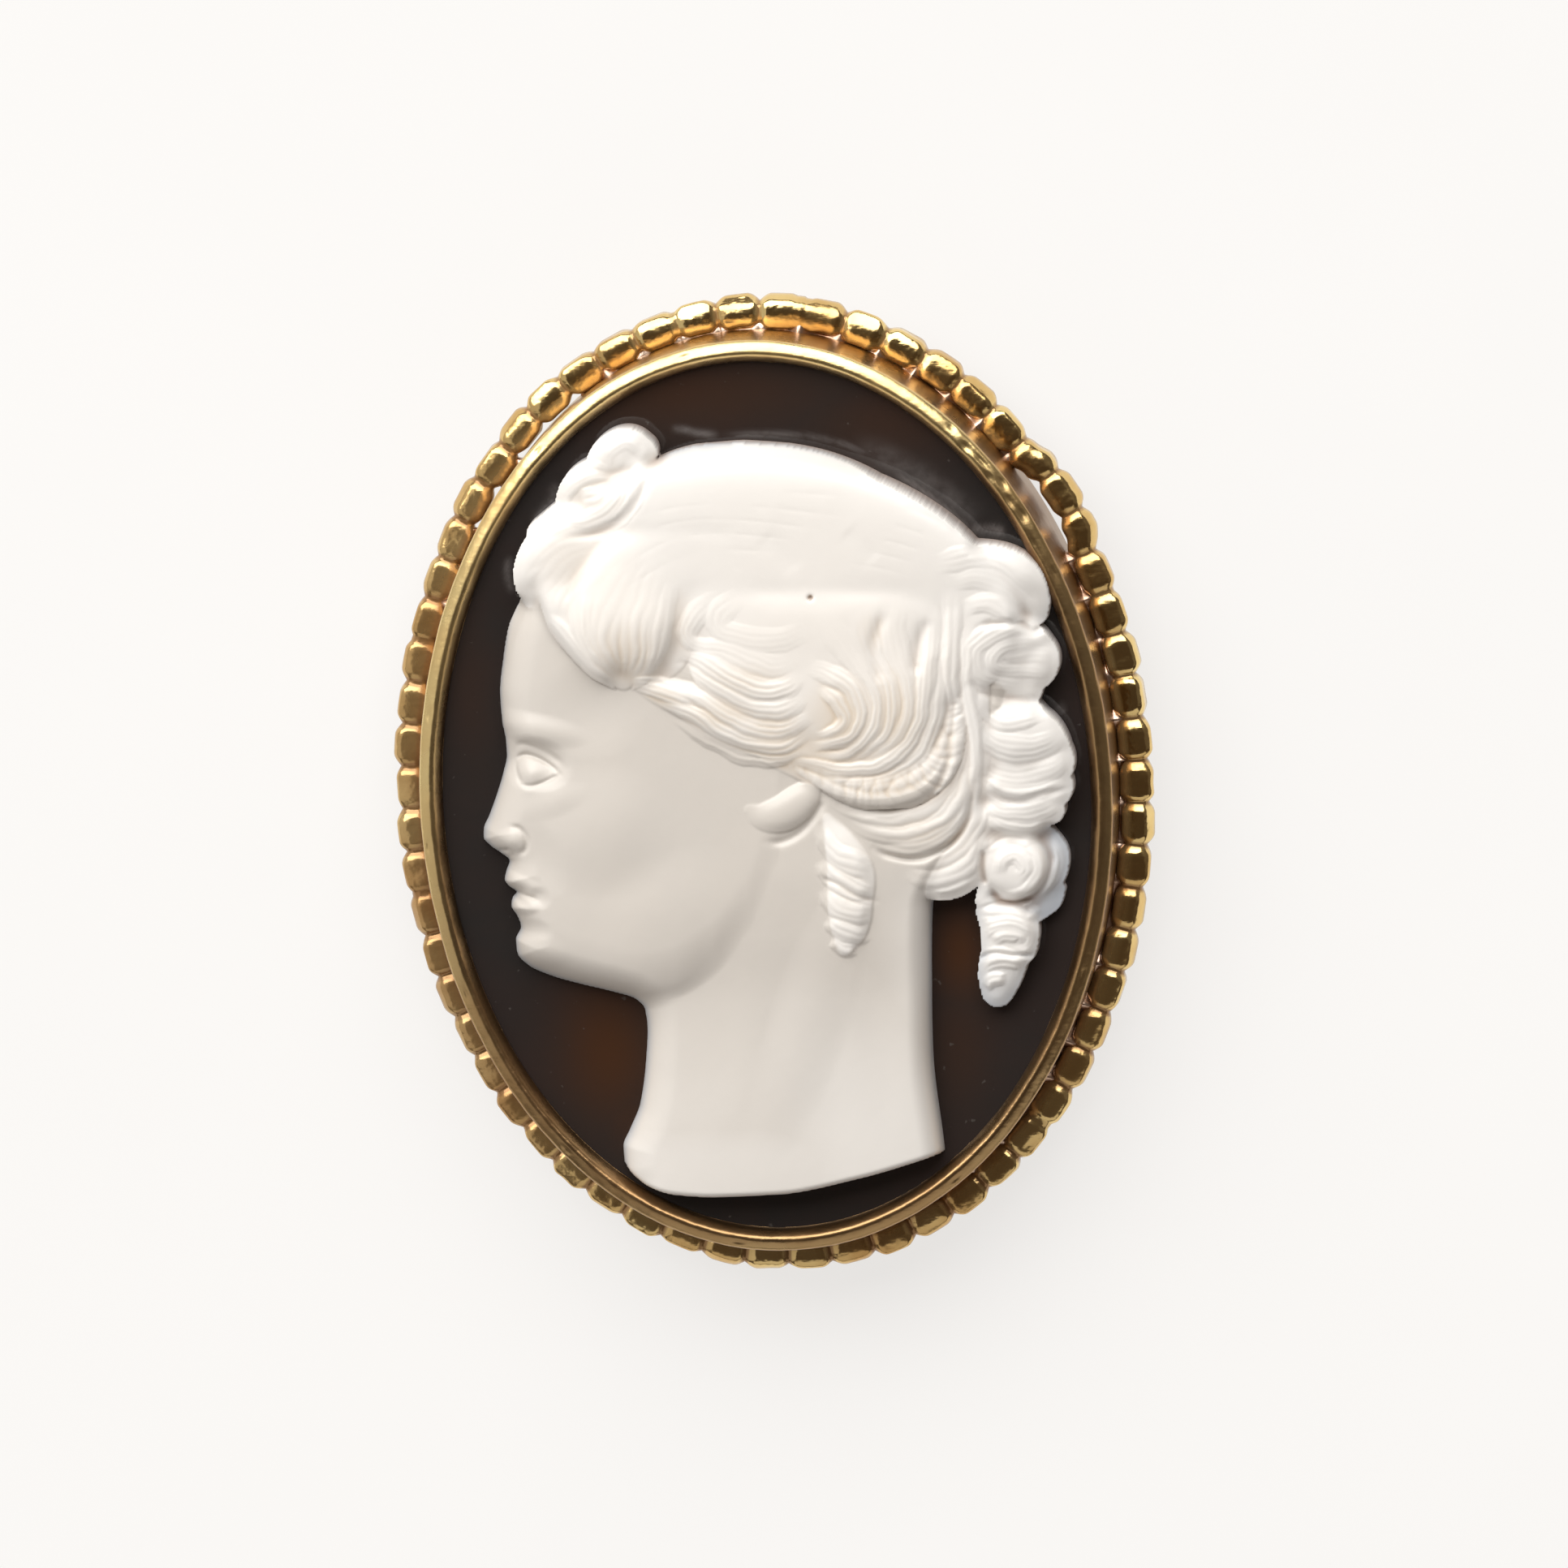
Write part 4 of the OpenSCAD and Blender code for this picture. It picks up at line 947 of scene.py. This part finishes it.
def build_bezel():
    """The bezel with its wall and bearer, a little uneven and nicked along the rim."""
    angle = np.linspace(0, 2 * math.pi, BEZEL_STEPS, endpoint=False)
    rim = spline(RIM_SECTION, 2)
    rim[:, 0] = np.clip(rim[:, 0], 0, BEZEL_W)
    rim[:, 0] *= BEZEL_W
    inner_out, inner_up = np.transpose(INNER_SECTION)
    out = np.concatenate([rim[:, 0], inner_out])
    up = np.concatenate([rim[:, 1] + GROUND_Z, inner_up])
    soft = np.concatenate([smoothstep(-0.1, 0.35, rim[:, 1]), np.zeros(len(inner_out))])
    grid_a, grid_out = np.meshgrid(angle, out, indexing="ij")
    grid_up = np.repeat(up[None, :], BEZEL_STEPS, 0)
    px, py = oval_point(grid_a, grid_out)
    grid_up = grid_up + soft * (0.018 * wander(px, py, 21, 6.0) + 0.006 * wander(px, py, 22, 1.3))
    shift = soft * (0.018 * wander(px, py, 23, 7.0) + 0.006 * wander(px, py, 24, 1.1))
    reach = math.sqrt(HALF_X * HALF_Y)
    for at, across, length, width, depth in NICKS:
        turn = np.radians(turn_from(at, np.degrees(grid_a)))
        dent = np.exp(-(turn * reach / length) ** 2 - ((grid_out - across) / width) ** 2)
        grid_up = grid_up - depth * dent * soft
    px, py = oval_point(grid_a, np.maximum(grid_out + shift, 0))
    piece = ring_mesh("bezel", np.stack([px, py, np.minimum(grid_up, GROUND_Z + RIM_H)], -1))
    # Grime and painted shade: darker at the stone's edge, low on the outer wall, and over all of the section
    # below the rim
    tone = np.interp(rim[:, 0], *np.transpose(RIM_GRIME_AND_SHADE)) + 0.5 * (rim[:, 1] < 0.3) * (rim[:, 0] > 0.9)
    tone = np.concatenate([tone, np.full(len(inner_out), 0.7)])
    # Painted shade: the rim darker along the bottom of the oval and down its right side
    side_shade = np.maximum(0.8 * smoothstep(0.4, -0.7, np.sin(angle)), 0.7 * smoothstep(0.5, 0.95, np.cos(angle)))
    set_field(piece, "grime_and_shade", tone[None, :] + side_shade[:, None])
    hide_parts("gold_mount")
    return piece


def stand_off(angle):
    """Extra gap between wall and wire at the given angles."""
    total = np.zeros_like(angle)
    for at, half, gap in SLOTS:
        turn = np.abs(turn_from(at, np.degrees(angle)))
        total = np.maximum(total, gap * smoothstep(half + 2.5, half, turn))
    return total


def wire_angles(places):
    """Angles of the wire at places counted in beads from the first one."""
    angle = np.linspace(0, 2 * math.pi, 2881)
    x, y = oval_point(angle, WIRE_OUT)
    length = lengths_along(x, y)
    return np.interp(((places + FIRST_BEAD) % BEADS) / BEADS * length[-1], length, angle)


def bead_body(u, skew):
    """Share of a bead's full girth at a place along it, 0 at the waist."""
    off_middle = abs(u - 0.5 - skew * (1 - abs(2 * u - 1)))
    return 1 - max((off_middle - BEAD_FULL) / BEAD_SHOULDER, 0) ** BEAD_POWER


def wire_dirt_and_shade(around, body, angle):
    """Grime and painted shade round a section of the wire: darker in the waists, painted shade underneath and
    towards the wall.
    """
    dirt_and_shade = float(smoothstep(0.6, 0.1, body))
    dirt_and_shade = np.maximum(dirt_and_shade, 0.8 * smoothstep(0.4, -0.4, np.sin(around)))
    dirt_and_shade = np.maximum(dirt_and_shade, 0.7 * smoothstep(0.1, -0.6, np.cos(around)))
    # Painted shade: dull all over along the bottom of the oval and along its left
    dirt_and_shade = dirt_and_shade + 0.35 * smoothstep(0.3, -0.8, math.sin(angle))
    return dirt_and_shade + 0.6 * smoothstep(-0.4, -1, math.cos(angle))


def build_wire():
    """The beaded wire, each bead a little different from the next."""
    draw = np.random.default_rng(11)
    size = draw.normal(1, 0.018, BEADS)
    flat = draw.uniform(0.0, 1.0, BEADS)
    lean = draw.normal(0, 0.025, BEADS)
    lift = draw.normal(0, 0.015, BEADS)
    fill = draw.uniform(0, 0.12, BEADS)
    twist = draw.uniform(0, 6.28, BEADS)
    skew = draw.normal(0, 0.05, BEADS)
    tilt = draw.normal(0, 0.08, (2, BEADS))
    middle = np.degrees(wire_angles(np.arange(BEADS) + 0.5))
    for at, filled, girth in ODD_BEADS:
        i = int(np.argmin(np.abs(turn_from(at, middle))))
        fill[i], size[i] = filled, girth
    share = np.linspace(0, 1, BEAD_RINGS, endpoint=False)
    around = np.arange(BEAD_SIDES) / BEAD_SIDES * 2 * math.pi
    rings, grime_and_shade = [], []
    for i in range(BEADS):
        for u in share:
            filled = fill[i] * float(smoothstep(0.5, 0.8, u)) + fill[i - 1] * float(smoothstep(0.5, 0.2, u))
            body = max(bead_body(u, skew[i]), filled)
            full = BEAD_D / 2 * (size[i] if u < 0.95 else (size[i] + size[(i + 1) % BEADS]) / 2)
            r = WAIST_D / 2 + (full - WAIST_D / 2) * body
            # A hammered bead: broad facets and one dent, that the waist doesn't share
            facet = 0.03 * np.sin(around * 3 + twist[i]) + 0.02 * np.sin(around * 5 - 2 * twist[i])
            facet = facet + 0.03 * np.sin(around + twist[i] + 3 * u)
            dent = 0.05 * np.exp(-((np.cos(around - twist[i]) - 1) / 0.12) ** 2 - ((u - 0.45) / 0.2) ** 2)
            r = r + (facet - dent * (flat[i] > 0.6)) * body
            angle = float(wire_angles(np.array(i + u)))
            out = WIRE_OUT + float(stand_off(np.array(angle))) + lean[i] * body
            across = r * np.sign(np.cos(around)) * np.abs(np.cos(around)) ** SQUARE_OUT
            up = r * np.sign(np.sin(around)) * np.abs(np.sin(around)) ** SQUARE_UP
            # The crown is worn to two slopes, steepest at the top and bottom of the oval
            crown = BEAD_D / 2 * (0.97 - 0.06 * flat[i] * body) + tilt[0, i] * np.cos(around) * body
            worn = 0.06 + 0.25 * abs(math.sin(angle)) ** 1.5
            slopes = np.maximum(np.cos(around), 0) - 0.5 * np.minimum(np.cos(around), 0)
            crown = crown - worn * slopes * body
            crown = crown + tilt[1, i] * (u - 0.5) * body
            up = np.where(up > crown, crown + (up - crown) * CROWN_LEFT, up)
            x, y = oval_point(np.full(BEAD_SIDES, angle), out + across)
            rings.append(np.stack([x, y, BACK_Z + WIRE_H + lift[i] * body + up], -1))
            grime_and_shade.append(wire_dirt_and_shade(around, body, angle))
    piece = ring_mesh("beaded_wire", np.array(rings))
    set_field(piece, "grime_and_shade", np.array(grime_and_shade))
    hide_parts("gold_mount")
    return piece


def build_solder():
    """Solder run along the foot of the wall, thick between the beads and absent at the gaps."""
    draw = np.random.default_rng(5)
    long, high = draw.uniform(0.2, 1.0, BEADS + 1), draw.uniform(0.0, 1.0, 2 * BEADS + 1)
    place = np.linspace(0, BEADS, SOLDER_STEPS, endpoint=False)
    angle = wire_angles(place)
    waist = (0.5 + 0.5 * np.cos(2 * math.pi * place)) ** 2
    uneven = np.interp(place * 2, np.arange(2 * BEADS + 1), high)
    web = 0.22 + 0.25 * np.interp(place + 0.5, np.arange(BEADS + 1), long, period=BEADS)
    reach = 0.06 + 0.1 * uneven + waist * web
    reach = reach * smoothstep(0.05, 0.02, stand_off(angle)) - 0.06 * smoothstep(0.0, 0.05, stand_off(angle))
    top = BACK_Z + WIRE_H + 0.1 + 0.5 * waist * uneven + 0.2 * uneven
    low = BACK_Z + WIRE_H - 0.35 - 0.1 * uneven
    turn = np.linspace(0, math.pi, 7)
    rings = []
    for a, r, t, b in zip(angle, reach, top, low):
        out = np.concatenate([BEZEL_W + r * np.sin(turn), [BEZEL_W - 0.12, BEZEL_W - 0.12]])
        up = np.concatenate([(t + b) / 2 + (t - b) / 2 * np.cos(turn), [b, t]])
        x, y = oval_point(np.full(len(out), a), out)
        rings.append(np.stack([x, y, up], -1))
    piece = ring_mesh("solder", np.array(rings))
    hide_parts("gold_mount")
    return piece


# Dark layer of the stone

GROUND_RINGS = 148
GROUND_STEPS = 600
GROUND_DIP = 0.012
GROUND_SAG = 0.02

# Haze left by the carver. Each: half width, strength, points across and up
HAZE = [
    (0.16, 0.8, [(-3.6, 16.55), (-2.9, 16.5), (-2.2, 16.3), (-1.2, 16.2)]),
    (0.14, 0.55, [(-1.6, 16.2), (0.4, 16.2), (2.4, 16.05), (4.2, 15.6), (6.2, 14.65)]),
    (0.5, 0.4, [(4.2, 15.8), (6.2, 14.9), (7.8, 13.9), (9.2, 12.7), (10.2, 11.8)]),
    (0.14, 0.9, [(6.0, 14.5), (7.6, 13.4), (8.9, 12.3), (9.8, 11.4)]),
    (0.2, 0.9, [(9.5, 11.65), (10.4, 11.6), (11.3, 11.5)]),
    (0.25, 0.5, [(-9.0, 14.4), (-8.8, 13.8), (-9.3, 13.0), (-9.9, 12.4)]),
    (0.16, 0.5, [(-10.9, 11.2), (-11.1, 10.2), (-10.8, 9.3)]),
    (0.2, 0.4, [(13.1, 3.7), (13.5, 3.3)]),
]
# Amber places where light comes through. Columns: across, up, reach across, reach up, strength
AMBER = [
    (-7.6, -11.2, 2.2, 3.4, 0.9), (-6.9, -14.2, 1.4, 2.0, 0.5), (8.3, -7.2, 1.3, 2.2, 0.9),
    (8.1, -11.5, 1.5, 3.0, 0.35), (-13.0, 5.0, 1.2, 4.0, 0.2), (-3.0, 18.2, 7.0, 1.8, 0.5),
    (6.0, 16.6, 4.0, 1.8, 0.35),
]


def at_places(grid, x, y, px, py):
    """Values of a grid at other places, the outermost beyond its edge."""
    column = np.clip((px - x[0, 0]) / GRID_STEP, 0, x.shape[1] - 1.001)
    line = np.clip((py - y[0, 0]) / GRID_STEP, 0, x.shape[0] - 1.001)
    i, j = column.astype(int), line.astype(int)
    u, v = column - i, line - j
    return ((grid[j, i] * (1 - u) + grid[j, i + 1] * u) * (1 - v)
            + (grid[j + 1, i] * (1 - u) + grid[j + 1, i + 1] * u) * v)


def build_ground(grid_x, grid_y, grid_inside):
    """The dark plate, dipping a little along the cut edge of the carving."""
    share = np.linspace(0, 1, GROUND_RINGS + 1)[1:]
    angle = np.linspace(0, 2 * math.pi, GROUND_STEPS, endpoint=False)
    edge_x, edge_y = oval_point(angle, EDGE_COVER)
    x, y = share[:, None] * edge_x, share[:, None] * edge_y
    inside = at_places(grid_inside, grid_x, grid_y, x, y)
    # Slight dip and waviness where the white was cut away
    z = GROUND_Z - GROUND_DIP + 0.006 * wander(x, y, 31, 7.0) + 0.003 * wander(x, y, 32, 2.2)
    z = z - GROUND_SAG * np.exp(-(np.minimum(inside, 0) / 0.35) ** 2) * smoothstep(1.0, 0.93, share)[:, None]
    top = np.stack([x, y, z], -1).reshape(-1, 3)
    rim = np.stack([edge_x, edge_y, np.full(GROUND_STEPS, STONE_Z)], -1)
    low = np.stack([edge_x * 0.5, edge_y * 0.5, np.full(GROUND_STEPS, STONE_Z)], -1)
    points = np.vstack([top, rim, low, [(0, 0, GROUND_Z - GROUND_DIP), (0, 0, STONE_Z)]])
    n = GROUND_STEPS
    a, b = np.meshgrid(np.arange(GROUND_RINGS + 1), np.arange(n), indexing="ij")
    c = (b + 1) % n
    faces = np.stack([a * n + b, (a + 1) * n + b, (a + 1) * n + c, a * n + c], -1).reshape(-1, 4).tolist()
    last = (GROUND_RINGS + 1) * n
    for i in range(n):
        k = (i + 1) % n
        faces += [[len(points) - 2, i, k], [len(points) - 1, last + k, last + i]]
    piece = mesh_object("sard_ground", points, faces)
    px, py = points[:, 0], points[:, 1]
    haze = np.zeros(len(points))
    for width, strength, rows in HAZE:
        away, along = line_distance(rows, px[None, :], py[None, :])
        haze = np.maximum(haze, (strength * np.exp(-(away / width) ** 2) * faded_ends(along, 0.25))[0])
    set_field(piece, "haze", haze)
    set_field(piece, "amber", strongest(AMBER, px, py))
    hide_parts("stone_ground")
    return piece


# Materials

STONE_IOR = 1.54


def new_material(name):
    material = bpy.data.materials.new(name)
    material.use_nodes = True
    tree = material.node_tree
    return material, tree, tree.nodes["Principled BSDF"]


def fill(tree, made, inputs):
    """Sets each input of a node, or links it where the value is a socket."""
    for key, value in inputs.items():
        if isinstance(value, bpy.types.NodeSocket):
            tree.links.new(value, made.inputs[key])
        else:
            made.inputs[key].default_value = value


def node(tree, kind, inputs=None, **settings):
    made = tree.nodes.new(kind)
    for key, value in settings.items():
        setattr(made, key, value)
    fill(tree, made, inputs or {})
    return made


def noise(tree, scale, detail=3.0, roughness=0.55, distortion=0.0, stretch=None):
    """Noise over the object's own coordinates, in metres."""
    place = node(tree, "ShaderNodeTexCoord").outputs["Object"]
    if stretch:
        place = node(tree, "ShaderNodeMapping", {"Vector": place, "Scale": stretch}).outputs["Vector"]
    return node(tree, "ShaderNodeTexNoise", {
        "Vector": place, "Scale": scale, "Detail": detail, "Roughness": roughness, "Distortion": distortion,
    }).outputs["Fac"]


def ramp(tree, value, low, high, start=0.0, end=1.0):
    return node(tree, "ShaderNodeMapRange",
                {"Value": value, 1: low, 2: high, 3: start, 4: end}).outputs[0]


def mix(tree, share, a, b):
    return node(tree, "ShaderNodeMix", {0: share, 6: a, 7: b}, data_type="RGBA").outputs[2]


def math_node(tree, operation, a, b):
    return node(tree, "ShaderNodeMath", {0: a, 1: b}, operation=operation).outputs[0]


def field(tree, name):
    """The number that set_field() stored under the name."""
    return node(tree, "ShaderNodeAttribute", attribute_name=name).outputs["Fac"]


def bump(tree, height, strength, distance, **over):
    inputs = {"Height": height, "Strength": strength, "Distance": distance, **over}
    return node(tree, "ShaderNodeBump", inputs).outputs["Normal"]


# Golds. Columns: bright, deep, colour of the grime and painted shade, lowest and highest roughness, depth of
# the dents in metres, metal where the grime and painted shade are full
GOLDS = {
    "bezel_gold": ((0.88, 0.68, 0.32, 1), (0.76, 0.52, 0.22, 1), (0.24, 0.11, 0.055, 1),
                   0.24, 0.38, 0.00003, 1.0),
    "wire_gold": ((0.90, 0.68, 0.30, 1), (0.64, 0.39, 0.14, 1), (0.24, 0.10, 0.04, 1),
                  0.12, 0.28, 0.0001, 0.5),
    "solder_gold": ((0.82, 0.62, 0.50, 1), (0.55, 0.34, 0.22, 1), (0.3, 0.15, 0.1, 1),
                    0.25, 0.42, 0.00008, 1.0),
    "pin_gold": ((0.78, 0.58, 0.31, 1), (0.60, 0.40, 0.19, 1), (0.24, 0.11, 0.055, 1),
                 0.28, 0.42, 0.00004, 1.0),
}


def gold_material(name):
    """Worn gold that is bright in patches, and dull with grime and painted shade where its stored field says
    so.
    """
    bright, deep, grime_and_shade, low_rough, high_rough, dents, grime_and_shade_metal = GOLDS[name]
    material, tree, shader = new_material(name)
    patches = noise(tree, 260, 4)
    fine = noise(tree, 2600, 2)
    scratch = noise(tree, 900, 3, stretch=(1.0, 7.0, 1.0))
    colour = mix(tree, ramp(tree, patches, 0.35, 0.7), bright, deep)
    # Grime and painted shade from the stored field darken the colour
    colour = mix(tree, ramp(tree, field(tree, "grime_and_shade"), 0.25, 1.0, 0.0, 0.75), colour, grime_and_shade)
    worn = bump(tree, noise(tree, 1300, 2), 0.5, dents)
    fill(tree, shader, {
        "Base Color": colour,
        "Metallic": ramp(tree, field(tree, "grime_and_shade"), 0.2, 1.0, 1.0, grime_and_shade_metal),
        "Roughness": ramp(tree, patches, 0.3, 0.75, low_rough, high_rough),
        "Normal": bump(tree, math_node(tree, "ADD", fine, scratch), 0.25, 0.00003, Normal=worn),
    })
    return material


def white_stone_material():
    """The white layer: warm grey, whiter by the field "hair", blue-grey where it is thin."""
    material, tree, shader = new_material("white_layer")
    patches = noise(tree, 180, 4)
    fine = noise(tree, 3200, 3)
    colour = mix(tree, ramp(tree, patches, 0.35, 0.7), (0.72, 0.675, 0.62, 1), (0.69, 0.65, 0.60, 1))
    colour = mix(tree, field(tree, "hair"), colour, (0.935, 0.91, 0.875, 1))
    # Cream tint of the stone, and painted shade in the hollows and over the lower waves
    colour = mix(tree, field(tree, "cream_and_shade"), colour, (0.77, 0.66, 0.53, 1))
    colour = mix(tree, field(tree, "thin"), colour, (0.42, 0.46, 0.52, 1))
    # Painted shade in the crevices of the hair, and the dark speck
    colour = mix(tree, ramp(tree, field(tree, "crevice_shade_and_speck"), 0.0, 1.0, 0.0, 0.75), colour, (0.46, 0.34, 0.26, 1))
    fill(tree, shader, {
        "Base Color": colour,
        "Roughness": ramp(tree, patches, 0.3, 0.75, 0.3, 0.42),
        "IOR": STONE_IOR,
        "Normal": bump(tree, fine, 0.2, 0.00002),
    })
    return material


def sard_material():
    """The dark layer: polished, with amber patches, fine specks and the carver's haze."""
    material, tree, shader = new_material("sard")
    patches = noise(tree, 120, 4, 0.6, 0.4)
    specks = noise(tree, 2400, 2)
    colour = mix(tree, ramp(tree, patches, 0.35, 0.75), (0.022, 0.0205, 0.02, 1), (0.03, 0.021, 0.019, 1))
    colour = mix(tree, field(tree, "amber"), colour, (0.058, 0.024, 0.011, 1))
    colour = mix(tree, ramp(tree, specks, 0.71, 0.77, 0.0, 0.4), colour, (0.12, 0.11, 0.1, 1))
    patchy = ramp(tree, noise(tree, 1100, 4), 0.25, 0.55, 0.25, 1.0)
    broken = math_node(tree, "MULTIPLY", field(tree, "haze"), patchy)
    colour = mix(tree, broken, colour, (0.15, 0.135, 0.13, 1))
    fill(tree, shader, {
        "Base Color": colour,
        "Roughness": ramp(tree, patches, 0.3, 0.8, 0.05, 0.12),
        "IOR": STONE_IOR,
    })
    return material


def floor_material():
    """Pale ground with a glow of its own, which keeps it near white and its shadow soft."""
    material, tree, shader = new_material("pale_floor")
    grain = noise(tree, 40, 3)
    colour = mix(tree, ramp(tree, grain, 0.3, 0.7), (0.22, 0.218, 0.215, 1), (0.23, 0.228, 0.225, 1))
    fill(tree, shader, {
        "Base Color": colour,
        "Roughness": 0.9,
        "Specular IOR Level": 0.1,
        "Emission Color": (1.0, 0.985, 0.965, 1),
        "Emission Strength": FLOOR_GLOW,
    })
    return material


def dress(piece, material):
    piece.data.materials.clear()
    piece.data.materials.append(material)


# Floor, lights and camera

FLOOR_HALF = 0.6
FLOOR_GLOW = 0.74
WORLD_COLOUR = (0.058, 0.042, 0.032, 1)
# Soft lights. Columns: name, place in metres, width, height, power, colour
LIGHTS = [
    ("key", (-0.12, 0.58, 0.52), 1.3, 0.7, 10.9, (1.0, 0.985, 0.96)),
    ("left", (-0.58, 0.08, 0.42), 1.2, 0.9, 1.7, (1.0, 0.985, 0.96)),
    ("right", (0.60, 0.15, 0.35), 0.8, 0.6, 0.1, (1.0, 0.99, 0.98)),
    ("low", (0.05, -0.62, 0.34), 1.0, 0.5, 0.9, (1.0, 0.98, 0.95)),
]
CAMERA_RIGHT = Vector((0.99349, -0.04656, -0.10392))
CAMERA_UP = Vector((0.02951, 0.98667, -0.16003))
CAMERA_AIM = (0.774, 0.5004)
CAMERA_DISTANCE = 1.159
CAMERA_LENS = 600.0


def build_floor():
    h = FLOOR_HALF
    mesh = bpy.data.meshes.new("floor")
    mesh.from_pydata([(-h, -h, 0), (h, -h, 0), (h, h, 0), (-h, h, 0)], [], [(0, 1, 2, 3)])
    floor = placed("floor", mesh)
    dress(floor, floor_material())


def build_lights():
    world = bpy.context.scene.world or bpy.data.worlds.new("world")
    bpy.context.scene.world = world
    world.use_nodes = True
    back = world.node_tree.nodes["Background"]
    back.inputs["Color"].default_value = WORLD_COLOUR
    back.inputs["Strength"].default_value = 1.0
    aim = Vector((0, 0, GROUND_Z * MM))
    for name, place, width, height, power, colour in LIGHTS:
        light = bpy.data.lights.new(name, "AREA")
        light.shape = "RECTANGLE"
        light.size, light.size_y = width, height
        light.energy = power
        light.color = colour
        lamp = placed(name, light)
        lamp.visible_camera = False
        lamp.location = place
        lamp.rotation_euler = (aim - Vector(place)).to_track_quat("-Z", "Y").to_euler()


def build_camera():
    towards = CAMERA_RIGHT.cross(CAMERA_UP)
    aim = Vector((0, 0, GROUND_Z)) + CAMERA_RIGHT * CAMERA_AIM[0] + CAMERA_UP * CAMERA_AIM[1]
    place = aim * MM + towards * CAMERA_DISTANCE
    data = bpy.data.cameras.new("camera")
    data.lens = CAMERA_LENS
    data.sensor_width = 36.0
    camera = placed("camera", data)
    turn = Matrix((CAMERA_RIGHT, CAMERA_UP, towards)).transposed().to_4x4()
    camera.matrix_world = Matrix.Translation(place) @ turn
    bpy.context.scene.camera = camera


# The whole scene

bpy.context.scene.view_settings.view_transform = "Standard"

grid_x, grid_y = np.meshgrid(np.arange(-13.4, 14.3, GRID_STEP), np.arange(-18.3, 17.2, GRID_STEP))
carved, inside_by, hair_cover = carving(grid_x, grid_y)
relief = build_relief(grid_x, grid_y, carved, inside_by, hair_cover)
ground = build_ground(grid_x, grid_y, inside_by)
bezel = build_bezel()
wire = build_wire()
solder = build_solder()

white_stone = white_stone_material()
for piece in relief:
    dress(piece, white_stone)
dress(ground, sard_material())
dress(bezel, gold_material("bezel_gold"))
dress(wire, gold_material("wire_gold"))
dress(solder, gold_material("solder_gold"))
dress(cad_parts["pin"], gold_material("pin_gold"))

build_floor()
build_lights()
build_camera()
